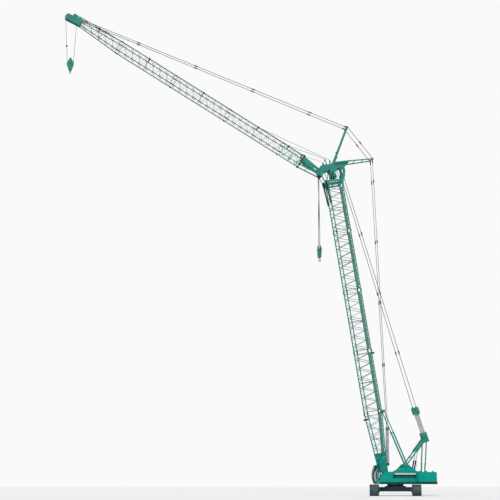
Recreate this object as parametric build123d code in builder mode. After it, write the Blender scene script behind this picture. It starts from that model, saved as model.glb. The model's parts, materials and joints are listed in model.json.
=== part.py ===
from build123d import *
from math import asin, atan2, cos, degrees, radians, sin
import os

os.makedirs("parts", exist_ok=True)

# A 1:10 model of a luffing-jib lattice crane on tracks, in millimetres of the model: 100 here are 1 m of the real crane.
# The boom lies in the XZ plane and leans toward -X, the tail is at +X, and the slew axis is Z at the origin.

# Clearances
fit = 0.3  # between a pin and its bore, and between pieces that turn on each other
side_gap = 1.0  # between a lug and the cheeks beside it

# Undercarriage
track_heading = 74  # the tracks' direction about Z, from +X
track_gauge = 604
track_length = 930
track_height = 160
shoe_width = 122
shoe_count = 50
grouser = 5
belt_thickness = 15
sprocket_radius = 64
frame_depth = 92
frame_width = 66
rail_depth = 44
rail_plate = 5
axle_radius = 13
drive_radius = 30
drive_reach = 42
roller_pitch = 72
roller_count = 9
carrier_pitch = 190
carrier_count = 3
carbody_length = 330
carbody_width = 300
carbody_bottom = 62
carbody_top = 140
axle_depth = 62
axle_width = 66
axle_spread = 250
ring_radius = 118
ring_height = 22

# Upper frame and house
deck_bottom = carbody_top + ring_height + 3
deck_depth = 32
deck_top = deck_bottom + deck_depth
frame_plate = 10
frame_plate_y = 98
deck_front = -262
deck_back = 560
side_deck_outer = 176
house_wall = 6
house_height = 142
house_inner = 112
house_left_front = -300
house_back = 262
roof_radius = 14

# Counterweight
weight_front = 272
weight_back = 556
weight_inner = 114
weight_outer = 236
weight_height = 160
tray_depth = 12

# Boom, from its foot pin
boom_foot = Vector(-165, 0, 250)
boom_angle = 80.93
boom_half_depth = 107
boom_half_width = 92
boom_chord = 8
boom_lacing = 3.6
boom_base_length = 940
boom_insert_length = 900
boom_insert_count = 3
boom_top_length = 700
boom_neck_half_depth = 42
foot_pin_radius = 11
winch_along = 330

# Jib, from its foot pin on the boom head; its axis runs above that pin
jib_pivot_along = 4513.6
jib_pivot_ahead = 189.2
jib_pivot_radius = 9
jib_axis_rise = 32.6
jib_axis_start = 14.8
jib_angle = 30.66
jib_half_depth = 73
jib_half_width = 84
jib_chord = 6
jib_lacing = 2.8
jib_base_length = 700
jib_root = 330
jib_insert_length = 938
jib_insert_count = 3
jib_top_length = 656

# Struts above the boom head
strut_pin_along = 4669
strut_pin_rear = 35
strut_length = 600
front_strut_angle = 69.3  # above +X, seen from the near side
rear_strut_angle = 9.0
strut_tip_y = 74
front_strut_y = 24
rear_strut_y = 118
strut_leg = 12

# Boom head
head_plate = 10
head_plate_y = 92
head_brace = 5
collar_depth = 81
pendant_pin_rear = 147
pendant_pin_along = 4468
pendant_pin_y = 60
point_sheave_radius = 22
head_axle_rear = 5
head_axle_along = 4485
head_sheave_radius = 42

# Jib head
jib_tip_along = 4373
jib_tip_rise = -14
tip_sheave_radius = 45
jib_pendant_along = 4207
jib_pendant_rise = 44
jib_pendant_y = 40

# Gantry, backstops and their pins
gantry_foot = Vector(143, 0, 428)
gantry_rear_foot = Vector(415, 0, 300)
gantry_top = Vector(452, 0, 826)
gantry_leg_y = 84
backstop_foot = Vector(182, 0, 396)
backstop_y = 62
backstop_rear = 151
backstop_along = 956
backstop_tube = 11
backstop_rod = 7
bridle_centre = Vector(311, 0, 1258)
bridle_y = 85

# Jib hoist reeving behind the boom
luff_block = Vector(-106, 0, 966)
luff_anchor_rear = 87
luff_anchor_along = 187
backstay_y = 58

# Ropes and pendants
pendant_radius = 4.2
rope_radius = 1.5
link_pitch = 914

# Hooks
tip_hook_drop = 643
tip_hook_back = 38
tip_block_sheave = 40
tip_anchor_along = 4213
tip_anchor_drop = 60
boom_hook_drop = 1051.8
boom_block_sheave = 22
boom_fall_x = 8
boom_fall_pitch = 24

# Cab, on the far side of the house front
cab_front = -296
cab_back = -112
cab_inner = 116
cab_outer = 212
cab_bottom = 178
cab_height = 258
cab_wall = 5


def lie(angle):
    """The frame of a boom that leans to -X at this angle: local Z along it, local X on its upper side."""
    a = radians(angle)
    return Plane(origin=(0, 0, 0), x_dir=(sin(a), 0, cos(a)), z_dir=(-cos(a), 0, sin(a)))


boom_frame = Plane(origin=boom_foot, x_dir=lie(boom_angle).x_dir, z_dir=lie(boom_angle).z_dir)


def on_boom(x, y, along):
    """A point given on the boom's own frame."""
    return boom_frame.from_local_coords(Vector(x, y, along))


jib_lie = lie(jib_angle)
jib_pivot = on_boom(-jib_pivot_ahead, 0, jib_pivot_along)
jib_start = jib_pivot + jib_lie.x_dir * jib_axis_rise + jib_lie.z_dir * jib_axis_start
jib_frame = Plane(origin=jib_start, x_dir=jib_lie.x_dir, z_dir=jib_lie.z_dir)


def on_jib(x, y, along):
    """A point given on the jib's own frame."""
    return jib_frame.from_local_coords(Vector(x, y, along))


strut_pin = on_boom(strut_pin_rear, 0, strut_pin_along)


def rod(start, end, radius):
    """A round bar between two points."""
    start, end = Vector(start), Vector(end)
    return Solid.make_cylinder(radius, (end - start).length, Plane(origin=start, z_dir=end - start))


def cross_rod(centre, half_width, radius):
    """A round bar across the crane, centred on the mid-plane."""
    centre = Vector(centre)
    return rod((centre.X, centre.Y - half_width, centre.Z), (centre.X, centre.Y + half_width, centre.Z), radius)


def bar(start, end, thickness, depth):
    """A box bar between two points of one plane across Y: its thickness lies along Y."""
    start, end = Vector(start), Vector(end)
    along = end - start
    across = Vector(0, 1, 0).cross(along)
    plane = Plane(origin=start, x_dir=across, z_dir=along)
    return Solid.extrude(Face.make_rect(depth, thickness, plane), along)


def lattice(length, bays, near, far, chord, lacing, connector):
    """The bars of one section along local Z: four chords, their end connectors, end and middle frames, and lacings.

    near and far are (half depth, half width) at the section's two ends.
    """

    def corner(x_side, y_side, z):
        share = z / length
        half_depth = near[0] + (far[0] - near[0]) * share
        half_width = near[1] + (far[1] - near[1]) * share
        return Vector(x_side * half_depth, y_side * half_width, z)

    corners = [(1, 1), (1, -1), (-1, -1), (-1, 1)]
    # opposite faces zigzag alike
    faces = [
        ((1, 1), (1, -1)),
        ((1, -1), (-1, -1)),
        ((-1, 1), (-1, -1)),
        ((1, 1), (-1, 1)),
    ]
    bars = []
    for side in corners:
        bars.append(rod(corner(*side, connector / 2), corner(*side, length - connector / 2), chord))
        for z in (0, length - connector):
            middle = corner(*side, z + connector / 2)
            bars.append(rod((middle.X, middle.Y, z), (middle.X, middle.Y, z + connector), chord * 1.45))
    inset = connector * 1.6
    pitch = (length - 2 * inset) / bays
    for side, next_side in faces:
        for z in (inset, length / 2, length - inset):
            bars.append(rod(corner(*side, z), corner(*next_side, z), lacing))
        for bay in range(bays):
            low, high = (side, next_side) if bay % 2 == 0 else (next_side, side)
            z = inset + bay * pitch
            bars.append(rod(corner(*low, z), corner(*high, z + pitch), lacing))
    return bars


def save(builder, name):
    """Labels a finished piece and writes its STEP file."""
    builder.part.label = name
    export_step(builder.part, f"parts/{name}.step")


def save_placed(builder, name, place):
    """Writes a copy of a repeated section at its own place."""
    copy = builder.part.moved(place)
    copy.label = name
    export_step(copy, f"parts/{name}.step")


# Undercarriage, built along X and turned to its heading
heading = Location((0, 0, 0), (0, 0, track_heading))
wheel_z = track_height / 2
wheel_reach = (track_length - track_height) / 2
inner_radius = track_height / 2 - belt_thickness
sides = [("left", 1), ("right", -1)]

with BuildPart() as carbody:
    with Locations((0, 0, (carbody_bottom + carbody_top) / 2)):
        Box(carbody_length, carbody_width, carbody_top - carbody_bottom)
    fillet(carbody.edges().filter_by(Axis.Z), 40)
    axle_span = track_gauge - frame_width - 2 * rail_plate
    axle_z = carbody_bottom + axle_depth / 2
    with Locations((axle_spread / 2, 0, axle_z), (-axle_spread / 2, 0, axle_z)):
        Box(axle_width, axle_span, axle_depth)
    chamfer(carbody.faces().sort_by(Axis.Z)[-1].edges(), 8)

with BuildPart() as slewing_ring:
    with BuildSketch(Plane.XY.offset(carbody_top)):
        Circle(ring_radius)
        Circle(ring_radius - 26, mode=Mode.SUBTRACT)
    extrude(amount=ring_height)

save_placed(carbody, "carbody", heading)
save_placed(slewing_ring, "slewing_ring", heading)


with BuildPart() as track:
    with BuildSketch(Plane.XZ) as track_side:
        SlotCenterToCenter(2 * wheel_reach, track_height - 2 * grouser)
        belt_edge = track_side.sketch_local.faces()[0].outer_wire()
        shoe_pitch = belt_edge.length / shoe_count
        shoe_spots = []
        for step in range(shoe_count):
            spot = belt_edge.position_at(step / shoe_count)
            tangent = belt_edge.tangent_at(step / shoe_count)
            turn = Vector(1, 0, 0).get_signed_angle(tangent, Vector(0, 0, 1))
            shoe_spots.append(Location((spot.X, spot.Y, 0), (0, 0, turn)))
        with Locations(*shoe_spots):
            Rectangle(shoe_pitch * 0.3, 2 * grouser)
        SlotCenterToCenter(2 * wheel_reach, 2 * inner_radius, mode=Mode.SUBTRACT)
    extrude(amount=shoe_width / 2, both=True)

with BuildPart() as track_frame:
    with BuildSketch(Plane.XZ):
        with Locations((0, wheel_z)):
            Rectangle(2 * (wheel_reach - sprocket_radius) - 8, frame_depth)
    extrude(amount=frame_width / 2, both=True)
    fillet(track_frame.edges().filter_by(Axis.Y), 12)
    with BuildSketch(Plane.XZ):
        with Locations((0, wheel_z)):
            SlotCenterToCenter(2 * wheel_reach, rail_depth)
    extrude(amount=frame_width / 2 + rail_plate, both=True)
    with BuildSketch(Plane.XZ):
        for x in (-wheel_reach, wheel_reach):
            with Locations((x, wheel_z)):
                Circle(sprocket_radius + 4)
    extrude(amount=frame_width / 2, both=True, mode=Mode.SUBTRACT)
    with Locations((-wheel_reach, 0, wheel_z), (wheel_reach, 0, wheel_z)):
        Cylinder(axle_radius, frame_width + 2 * rail_plate, rotation=(90, 0, 0))

with BuildPart() as sprocket:
    with BuildSketch(Plane.XZ):
        Circle(sprocket_radius - 5)
        with PolarLocations(sprocket_radius - 5, 12):
            Circle(4.6)
        Circle(axle_radius + fit, mode=Mode.SUBTRACT)
    extrude(amount=frame_width / 2 - fit, both=True)

with BuildPart() as idler:
    with BuildSketch(Plane.XZ):
        Circle(sprocket_radius - 2)
        Circle(axle_radius + fit, mode=Mode.SUBTRACT)
    extrude(amount=frame_width / 2 - fit, both=True)

with BuildPart() as rollers:
    belt_gap = inner_radius - frame_depth / 2 - fit
    with BuildSketch(Plane.XZ):
        roller_z = wheel_z - inner_radius + fit + belt_gap / 2 - fit / 2
        with Locations((0, roller_z)):
            with GridLocations(roller_pitch, 1, roller_count, 1):
                Circle(belt_gap / 2 - fit)
        with Locations((0, 2 * wheel_z - roller_z)):
            with GridLocations(carrier_pitch, 1, carrier_count, 1):
                Circle(belt_gap / 2 - fit)
    extrude(amount=frame_width / 2 - 8, both=True)

for side, sign in sides:
    lane = heading * Location((0, sign * track_gauge / 2, 0))
    save_placed(track, f"track_{side}", lane * Location((0, 0, wheel_z)))
    with BuildPart() as driven_frame:
        add(track_frame.part)
        inner = -sign * (frame_width / 2 + rail_plate)
        with Locations((-wheel_reach, inner - sign * drive_reach / 2, wheel_z)):
            Cylinder(drive_radius, drive_reach, rotation=(90, 0, 0))
        with Locations((-wheel_reach, inner - sign * (drive_reach / 2 + 12), wheel_z)):
            Cylinder(drive_radius * 0.6, drive_reach, rotation=(90, 0, 0))
    save_placed(driven_frame, f"track_frame_{side}", lane)

wheel_kinds = [("sprockets", sprocket, -wheel_reach), ("idlers", idler, wheel_reach)]
for name, wheel, x in wheel_kinds:
    with BuildPart() as pair:
        for side, sign in sides:
            with Locations(heading * Location((x, sign * track_gauge / 2, wheel_z))):
                add(wheel.part)
    save(pair, name)

with BuildPart() as track_rollers:
    for side, sign in sides:
        with Locations(heading * Location((0, sign * track_gauge / 2, 0))):
            add(rollers.part)
save(track_rollers, "track_rollers")

# Upper frame: a deck, two side plates that rise at the boom foot and under the gantry, and a tail
frame_outline = [
    (deck_front, deck_bottom),
    (deck_front, deck_top + 10),
    (boom_foot.X - 40, boom_foot.Z + 38),
    (boom_foot.X + 40, boom_foot.Z + 38),
    (boom_foot.X + 110, boom_foot.Z + 20),
    (gantry_foot.X - 60, gantry_foot.Z - 20),
    (gantry_foot.X - 18, gantry_foot.Z + 22),
    (gantry_foot.X + 20, gantry_foot.Z + 22),
    (gantry_foot.X + 150, deck_top + house_height + 10),
    (gantry_rear_foot.X + 30, gantry_rear_foot.Z + 34),
    (deck_back - 10, deck_bottom + 150),
    (deck_back, deck_bottom),
]
pins = [
    # pin, boss radius, how far in from the plate it reaches, pin radius
    (boom_foot, 24, 22, foot_pin_radius),
    (gantry_foot, 18, 24, 7),
    (gantry_rear_foot, 18, 24, 7),
]
with BuildPart() as upper_frame:
    for sign in (1, -1):
        with BuildSketch(Plane.XZ.offset(sign * frame_plate_y)):
            with BuildLine():
                Polyline(*frame_outline, close=True)
            make_face()
        extrude(amount=frame_plate / 2, both=True)
    with BuildSketch(Plane.XY.offset(deck_bottom)):
        with Locations(((deck_front + deck_back) / 2, 0)):
            Rectangle(deck_back - deck_front, 2 * frame_plate_y)
        for sign, front in ((-1, house_left_front + 8), (1, cab_back + 8)):
            with Locations(((front + house_back) / 2, sign * (frame_plate_y + side_deck_outer) / 2)):
                Rectangle(house_back - front, side_deck_outer - frame_plate_y)
    extrude(amount=deck_depth)
    with BuildSketch(Plane.XY.offset(deck_bottom)):
        with Locations(((cab_front + 30 + cab_back) / 2, (frame_plate_y + cab_outer - 10) / 2)):
            Rectangle(cab_back - cab_front - 30, cab_outer - 10 - frame_plate_y)
    extrude(amount=cab_bottom - fit - deck_bottom)
    with BuildSketch(Plane.XY.offset(deck_bottom)):
        Circle(ring_radius)
    extrude(amount=-(deck_bottom - carbody_top - ring_height - fit))
    for pin, boss, reach, radius in pins:
        for sign in (1, -1):
            outer = frame_plate_y + frame_plate / 2 + 3
            add(rod(pin + Vector(0, sign * outer, 0), pin + Vector(0, sign * (outer - frame_plate - 3), 0), boss))
            add(rod(pin + Vector(0, sign * outer, 0), pin + Vector(0, sign * (outer - reach - 8), 0), radius))
    for sign in (1, -1):
        for cheek in (-1, 1):
            lug_y = sign * backstop_y + cheek * (backstop_tube + 4)
            low = Vector(backstop_foot.X, lug_y, deck_top - 5)
            add(bar(low, Vector(backstop_foot.X, lug_y, backstop_foot.Z + 16), 5, 44))
        add(cross_rod(backstop_foot + Vector(0, sign * backstop_y, 0), backstop_tube + 4, 5))
save(upper_frame, "upper_frame")

# House: two hollow side bodies that stand on the deck
house_sides = [
    # name, side, front
    ("house_left", -1, house_left_front),
    ("house_right", 1, cab_back + 8),
]
for name, sign, front in house_sides:
    with BuildPart() as house:
        middle = sign * (house_inner + side_deck_outer) / 2
        width = side_deck_outer - house_inner
        with BuildSketch(Plane.XZ.offset(-middle)):
            with Locations(((front + house_back) / 2, deck_top + house_height / 2)):
                Rectangle(house_back - front, house_height)
        extrude(amount=width / 2, both=True)
        fillet(house.edges().filter_by(Axis.Y).group_by(Axis.Z)[-1], roof_radius)
        offset(amount=-house_wall, openings=house.faces().sort_by(Axis.Z)[0])
        louvre_z = deck_top + house_height * 0.66
        with Locations((85, sign * side_deck_outer, louvre_z)):
            with GridLocations(38, 1, 7, 1):
                Box(26, 3 * house_wall, 20, mode=Mode.SUBTRACT)
    save(house, name)

with BuildPart() as engine_block:
    with Locations((110, (house_inner + side_deck_outer) / 2, deck_top + 50 + fit)):
        Box(190, side_deck_outer - house_inner - 2 * house_wall - 6, 100)
save(engine_block, "engine_block")

with BuildPart() as exhaust:
    add(rod((200, 144, deck_top + house_height), (200, 144, deck_top + house_height + 60), 9))
    with BuildSketch(Plane.XY.offset(deck_top + house_height + 60)):
        with Locations((200, 144)):
            Circle(6)
    extrude(amount=-54, mode=Mode.SUBTRACT)
save(exhaust, "exhaust")

# Counterweight: a tray under the tail and a stack on each side of it
weight_length = weight_back - weight_front
weight_x = (weight_front + weight_back) / 2
weight_y = (weight_inner + weight_outer) / 2
tray_inner = frame_plate_y + frame_plate / 2 + fit
with BuildPart() as counterweight_tray:
    for sign in (1, -1):
        with Locations((weight_x, sign * (tray_inner + weight_outer) / 2, deck_bottom + tray_depth / 2)):
            Box(weight_length, weight_outer - tray_inner, tray_depth)
save(counterweight_tray, "counterweight_tray")

for side, sign in [("left", -1), ("right", 1)]:
    with BuildPart() as stack:
        with Locations((weight_x, sign * weight_y, deck_bottom + tray_depth + weight_height / 2)):
            Box(weight_length, weight_outer - weight_inner, weight_height)
        fillet(stack.edges().filter_by(Axis.Z).group_by(Axis.X)[-1], 26)
        fillet(stack.edges().filter_by(Axis.Y).group_by(Axis.Z)[-1], 10)
    save(stack, f"counterweight_{side}")

# Cab
cab_y = (cab_inner + cab_outer) / 2
cab_width = cab_outer - cab_inner
side_window = (cab_front + 88, cab_bottom + 160, 84, 120)
door_opening = (cab_back - 52, cab_bottom + 126, 76, 212)
with BuildPart() as cab_shell:
    for inset, use in ((0, Mode.ADD), (cab_wall, Mode.SUBTRACT)):
        with BuildSketch(Plane.XZ.offset(-cab_y)):
            with BuildLine():
                low = (cab_front + 22 + inset, cab_bottom + inset)
                knee = (cab_front + inset, cab_bottom + 0.34 * cab_height)
                bulge = (cab_front + 6 + inset, cab_bottom + 0.66 * cab_height)
                brow = (cab_front + 30 + inset, cab_bottom + cab_height - 14 - inset)
                crown = (cab_front + 38 + inset, cab_bottom + cab_height - 5 - inset)
                roof = (cab_front + 52 + inset, cab_bottom + cab_height - inset)
                back = cab_back - inset
                Line((back, cab_bottom + inset), low)
                Line(low, knee)
                ThreePointArc(knee, bulge, brow)
                ThreePointArc(brow, crown, roof)
                Line(roof, (back, cab_bottom + cab_height - inset))
                Line((back, cab_bottom + cab_height - inset), (back, cab_bottom + inset))
            make_face()
        extrude(amount=cab_width / 2 - inset, both=True, mode=use)
    with Locations((cab_front + 20, cab_y, cab_bottom + 156)):
        Box(80, cab_width - 20, 160, mode=Mode.SUBTRACT)
    for x, z, wide, tall in (side_window, door_opening):
        with Locations((x, cab_outer, z)):
            Box(wide, 3 * cab_wall, tall, mode=Mode.SUBTRACT)
    x, z, wide, tall = side_window
    with Locations((x, cab_inner, z)):
        Box(wide, 3 * cab_wall, tall, mode=Mode.SUBTRACT)
    with Locations((cab_back, cab_y, cab_bottom + 170)):
        Box(3 * cab_wall, cab_width - 30, 90, mode=Mode.SUBTRACT)
save(cab_shell, "cab_shell")

glass = 2
with BuildPart() as cab_glass:
    x, z, wide, tall = side_window
    for y in (cab_inner + cab_wall / 2, cab_outer - cab_wall / 2):
        with Locations((x, y, z)):
            Box(wide - 2 * fit, glass, tall - 2 * fit)
    with Locations((cab_back - cab_wall / 2, cab_y, cab_bottom + 170)):
        Box(glass, cab_width - 30 - 2 * fit, 90 - 2 * fit)
save(cab_glass, "cab_glass")

with BuildPart() as cab_door:
    x, z, wide, tall = door_opening
    door_y = cab_outer + cab_wall / 2 + fit
    with Locations((x, door_y, z)):
        Box(wide + 8, cab_wall, tall + 8)
        Box(wide - 16, 2 * cab_wall, tall - 90, mode=Mode.SUBTRACT)
save(cab_door, "cab_door")

with BuildPart() as cab_interior:
    floor = cab_bottom + cab_wall + fit
    with Locations((cab_back - 60, cab_y, floor + 25)):
        Box(50, 46, 50)
    with Locations((cab_back - 40, cab_y, floor + 90)):
        Box(14, 46, 90)
save(cab_interior, "cab_interior")

# Winches between the side plates
drums = [
    # x, drum radius, flange radius
    (0, 26, 40),
    (100, 26, 40),
    (330, 24, 38),
]
drum_z = deck_top + 52
drum_reach = frame_plate_y - frame_plate / 2 - fit
with BuildPart() as winch_drums:
    for x, drum, flange in drums:
        add(cross_rod((x, 0, drum_z), drum_reach, drum))
        for y in (-drum_reach + 4, drum_reach - 4):
            add(cross_rod((x, y, drum_z), 4, flange))
save(winch_drums, "winch_drums")

# Gantry
with BuildPart() as gantry_front_legs:
    leg_bend = gantry_foot + (gantry_top - gantry_foot) * 0.5
    for sign in (1, -1):
        y = Vector(0, sign * gantry_leg_y, 0)
        add(bar(gantry_foot + y, gantry_top + y, 12, 18))
        add(bar(leg_bend + y, gantry_top + y, 12, 34))
        add(cross_rod(gantry_foot + y, 6, 15))
        add(cross_rod(gantry_top + y, 6, 22))
    for share in (0.3, 0.62):
        add(cross_rod(gantry_foot + (gantry_top - gantry_foot) * share, gantry_leg_y, 7))
    add(cross_rod(gantry_top, gantry_leg_y + 24, 9))
    with Locations(gantry_foot):
        Cylinder(7 + fit, 4 * gantry_leg_y, rotation=(90, 0, 0), mode=Mode.SUBTRACT)
save(gantry_front_legs, "gantry_front_legs")

rear_leg_y = gantry_leg_y + 13
with BuildPart() as gantry_rear_legs:
    knee = gantry_rear_foot + (gantry_top - gantry_rear_foot) * 0.3
    for sign in (1, -1):
        y = Vector(0, sign * gantry_leg_y, 0)
        top_y = Vector(0, sign * rear_leg_y, 0)
        add(bar(gantry_rear_foot + y, knee + y, 12, 18))
        add(bar(knee + top_y, gantry_top + top_y, 10, 16))
        add(cross_rod(knee + (y + top_y) * 0.5, 12, 10))
        add(cross_rod(gantry_rear_foot + y, 6, 15))
        add(cross_rod(gantry_top + top_y, 5, 18))
    for pin, bore in ((gantry_rear_foot, 7), (gantry_top, 9)):
        with Locations(pin):
            Cylinder(bore + fit, 4 * gantry_leg_y, rotation=(90, 0, 0), mode=Mode.SUBTRACT)
save(gantry_rear_legs, "gantry_rear_legs")

with BuildPart() as gantry_cylinders:
    cylinder_foot = Vector(240, 0, deck_top + 13 + fit)
    cylinder_head = gantry_foot + (gantry_top - gantry_foot) * 0.62
    for sign in (1, -1):
        y = Vector(0, sign * (gantry_leg_y - 34), 0)
        share = cylinder_foot + (cylinder_head - cylinder_foot) * 0.62
        add(rod(cylinder_foot + y, share + y, 10))
        add(rod(share + y, cylinder_head + (cylinder_foot - cylinder_head).normalized() * (7 + fit) + y, 5))
        add(cross_rod(cylinder_foot + y, 8, 13))
save(gantry_cylinders, "gantry_cylinders")

# Boom
plate_y = frame_plate_y - frame_plate / 2 - side_gap - 5
neck_along = 190
boom_place = boom_frame.location


def base_half_depth(along):
    """How far the base's chords lie from its axis at a place along it."""
    share = min((along - neck_along) / (boom_base_length - neck_along), 1)
    return boom_neck_half_depth + (boom_half_depth - boom_neck_half_depth) * share


with BuildPart() as boom_base:
    taper = boom_base_length - neck_along
    neck = (boom_neck_half_depth, boom_half_width)
    full = (boom_half_depth, boom_half_width)
    bars = lattice(taper, 9, neck, full, boom_chord, boom_lacing, 18)
    with Locations((0, 0, neck_along)):
        add(bars)
    for sign in (1, -1):
        with BuildSketch(Plane.XZ.offset(sign * plate_y)):
            with BuildLine():
                foot_points = [
                    (-24, 0),
                    (-boom_neck_half_depth - 8, 80),
                    (-boom_neck_half_depth - 14, neck_along + 24),
                    (boom_neck_half_depth + 14, neck_along + 24),
                    (boom_neck_half_depth + 8, 80),
                    (24, 0),
                ]
                Polyline(*foot_points)
                ThreePointArc((24, 0), (0, -24), (-24, 0))
            make_face()
        extrude(amount=5, both=True)
        y = sign * 30
        add(bar((20, y, luff_anchor_along - 20), (luff_anchor_rear + 12, y, luff_anchor_along), 6, 26))
        backstop_lug_y = sign * backstop_y
        for cheek in (-1, 1):
            y = backstop_lug_y + cheek * (backstop_rod + 5)
            with BuildSketch(Plane.XZ.offset(-y)):
                with BuildLine():
                    low = boom_base_length - 18 * 1.6
                    lug_points = [
                        (boom_half_depth, low - 14),
                        (boom_half_depth, low + 6),
                        (backstop_rear - 8, backstop_along + 14),
                        (backstop_rear + 10, backstop_along + 6),
                        (backstop_rear + 10, backstop_along - 10),
                    ]
                    Polyline(*lug_points, close=True)
                make_face()
            extrude(amount=2, both=True)
        with Locations((0, sign * (boom_half_width - 6), winch_along)):
            Box(2 * base_half_depth(winch_along), 6, 60)
    for along in (60, luff_anchor_along - 20):
        add(cross_rod((0, 0, along), plate_y, 9))
    add(cross_rod((20, 0, luff_anchor_along - 20), plate_y, 7))
    for x, along, radius in (
        (0, 0, foot_pin_radius),
        (luff_anchor_rear, luff_anchor_along, 6),
        (0, winch_along, 8),
    ):
        with Locations((x, 0, along)):
            Cylinder(radius + fit, 4 * plate_y, rotation=(90, 0, 0), mode=Mode.SUBTRACT)
save_placed(boom_base, "boom_base", boom_place)

with BuildPart() as boom_insert:
    add(lattice(boom_insert_length, 12, full, full, boom_chord, boom_lacing, 18))
for number in range(boom_insert_count):
    along = boom_base_length + number * boom_insert_length
    save_placed(boom_insert, f"boom_insert_{number + 1}", boom_place * Location((0, 0, along)))

top_start = boom_base_length + boom_insert_count * boom_insert_length
with BuildPart() as boom_top:
    add(lattice(boom_top_length, 9, full, full, boom_chord, boom_lacing, 18))
save_placed(boom_top, "boom_top", boom_place * Location((0, 0, top_start)))

# The head's side plates: a collar, two arms that meet in a box under the struts' pin, and a curved brace behind
collar_low = top_start + boom_top_length
collar_top = collar_low + collar_depth
ahead, low = -jib_pivot_ahead, jib_pivot_along
rear, high = strut_pin_rear, strut_pin_along
arms_outline = [
    # rear of the axis, along
    (ahead - 22, low),
    (ahead - 14, low + 117),
    (ahead + 36, high - 4),
    (rear - 70, high - 12),
    (rear - 22, high + 18),
    (rear + 22, high + 18),
    (rear + 95, high + 3),
    (rear + 160, high + 18),
    (rear + 205, high + 10),
    (rear + 223, high - 15),
    (rear + 142, high - 80),
    (rear + 30, high - 76),
    (rear + 18, high - 128),
    (rear - 85, high - 124),
    (rear - 83, high - 91),
    (ahead + 41, low + 44),
    (ahead + 22, low),
]
collar_outline = [
    (-boom_half_depth - 14, collar_low),
    (-boom_half_depth - 50, collar_low + 32),
    (-boom_half_depth - 52, collar_top - 14),
    (-boom_half_depth - 30, collar_top),
    (boom_half_depth + 33, collar_top),
    (boom_half_depth + 14, collar_low),
]
brace_outline = [
    (rear + 142, high - 70),
    (rear + 146, high - 140),
    (pendant_pin_rear + 20, pendant_pin_along + 12),
    (pendant_pin_rear + 18, pendant_pin_along - 14),
    (boom_half_depth + 33, collar_top - 4),
    (boom_half_depth - 12, collar_top - 4),
    (pendant_pin_rear - 22, pendant_pin_along + 6),
    (rear + 106, high - 140),
    (rear + 100, high - 70),
]
fan_count = 5
with BuildPart() as boom_head:
    for sign in (1, -1):
        y = sign * head_plate_y
        for outline in (arms_outline, collar_outline, brace_outline):
            with BuildSketch(Plane.XZ.offset(y)):
                with BuildLine():
                    if outline is arms_outline:
                        Polyline(*outline)
                        ThreePointArc((ahead + 22, low), (ahead, low - 22), (ahead - 22, low))
                    else:
                        Polyline(*outline, close=True)
                make_face()
                if outline is collar_outline:
                    with Locations((-50, collar_low + 38), (44, collar_low + 38)):
                        Rectangle(76, 30, mode=Mode.SUBTRACT)
            extrude(amount=head_plate / 2, both=True)
        front_foot = (-boom_half_depth - 40, y, collar_top - 12)
        add(rod((ahead + 6, y, low - 16), front_foot, head_brace))
        add(rod((ahead + 38, y, low + 52), (-boom_half_depth - 4, y, collar_top - 8), head_brace))
        for step in range(fan_count):
            share = step / (fan_count - 1)
            fan_high = (rear - 79 + 92 * share, y, high - 122)
            add(rod(fan_high, (-78 + 158 * share, y, collar_top - 6), head_brace))
    for x, along, radius in (
        (-boom_half_depth + 8, collar_low + 16, 9),
        (boom_half_depth - 8, collar_low + 16, 9),
        (boom_half_depth + 12, collar_top - 14, 8),
        (rear - 62, high - 106, 9),
        (rear + 12, high - 106, 9),
        (rear + 184, high - 14, 8),
        (head_axle_rear, head_axle_along, 8),
        (pendant_pin_rear, pendant_pin_along, 6),
        (ahead, low, jib_pivot_radius),
    ):
        add(cross_rod((x, 0, along), head_plate_y, radius))
    add(cross_rod((rear, 0, high), rear_strut_y + strut_leg / 2 + 3, 8))
    for y in (-head_plate_y, head_plate_y):
        add(rod((head_axle_rear, y, head_axle_along), (head_axle_rear, y * 0.95, head_axle_along), 20))
save_placed(boom_head, "boom_head", boom_place)

with BuildPart() as boom_winch:
    winch_reach = boom_half_width - 9 - fit
    add(cross_rod((0, 0, winch_along), boom_half_width, 8))
    add(cross_rod((0, 0, winch_along), winch_reach, 22))
    for y in (-winch_reach + 4, winch_reach - 4):
        add(cross_rod((0, y, winch_along), 4, 30))
save_placed(boom_winch, "boom_winch", boom_place)

with BuildPart() as guide_rollers:
    for face, stand_off, along in ((-1, 28, 860), (1, 34, 1800)):
        chord_x = base_half_depth(along)
        slope_gap = fit if along > boom_base_length else 4 * fit
        x = face * (chord_x + stand_off)
        add(cross_rod((x, 0, along), 46, 14))
        add(cross_rod((x, 0, along), boom_half_width + 3, 4))
        for y in (-boom_half_width, boom_half_width):
            seat = face * (chord_x + boom_chord + slope_gap)
            add(bar((x + face * 8, y, along), (seat, y, along), 8, 20))
    for y in (-50, -30, -10, 10, 30, 50):
        with BuildPart(mode=Mode.PRIVATE) as disc:
            add(cross_rod((head_axle_rear, y, head_axle_along), 5, head_sheave_radius))
            with Locations((head_axle_rear, y, head_axle_along)):
                Cylinder(8 + fit, 20, rotation=(90, 0, 0), mode=Mode.SUBTRACT)
        add(disc.part)
save_placed(guide_rollers, "guide_rollers", boom_place)

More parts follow.
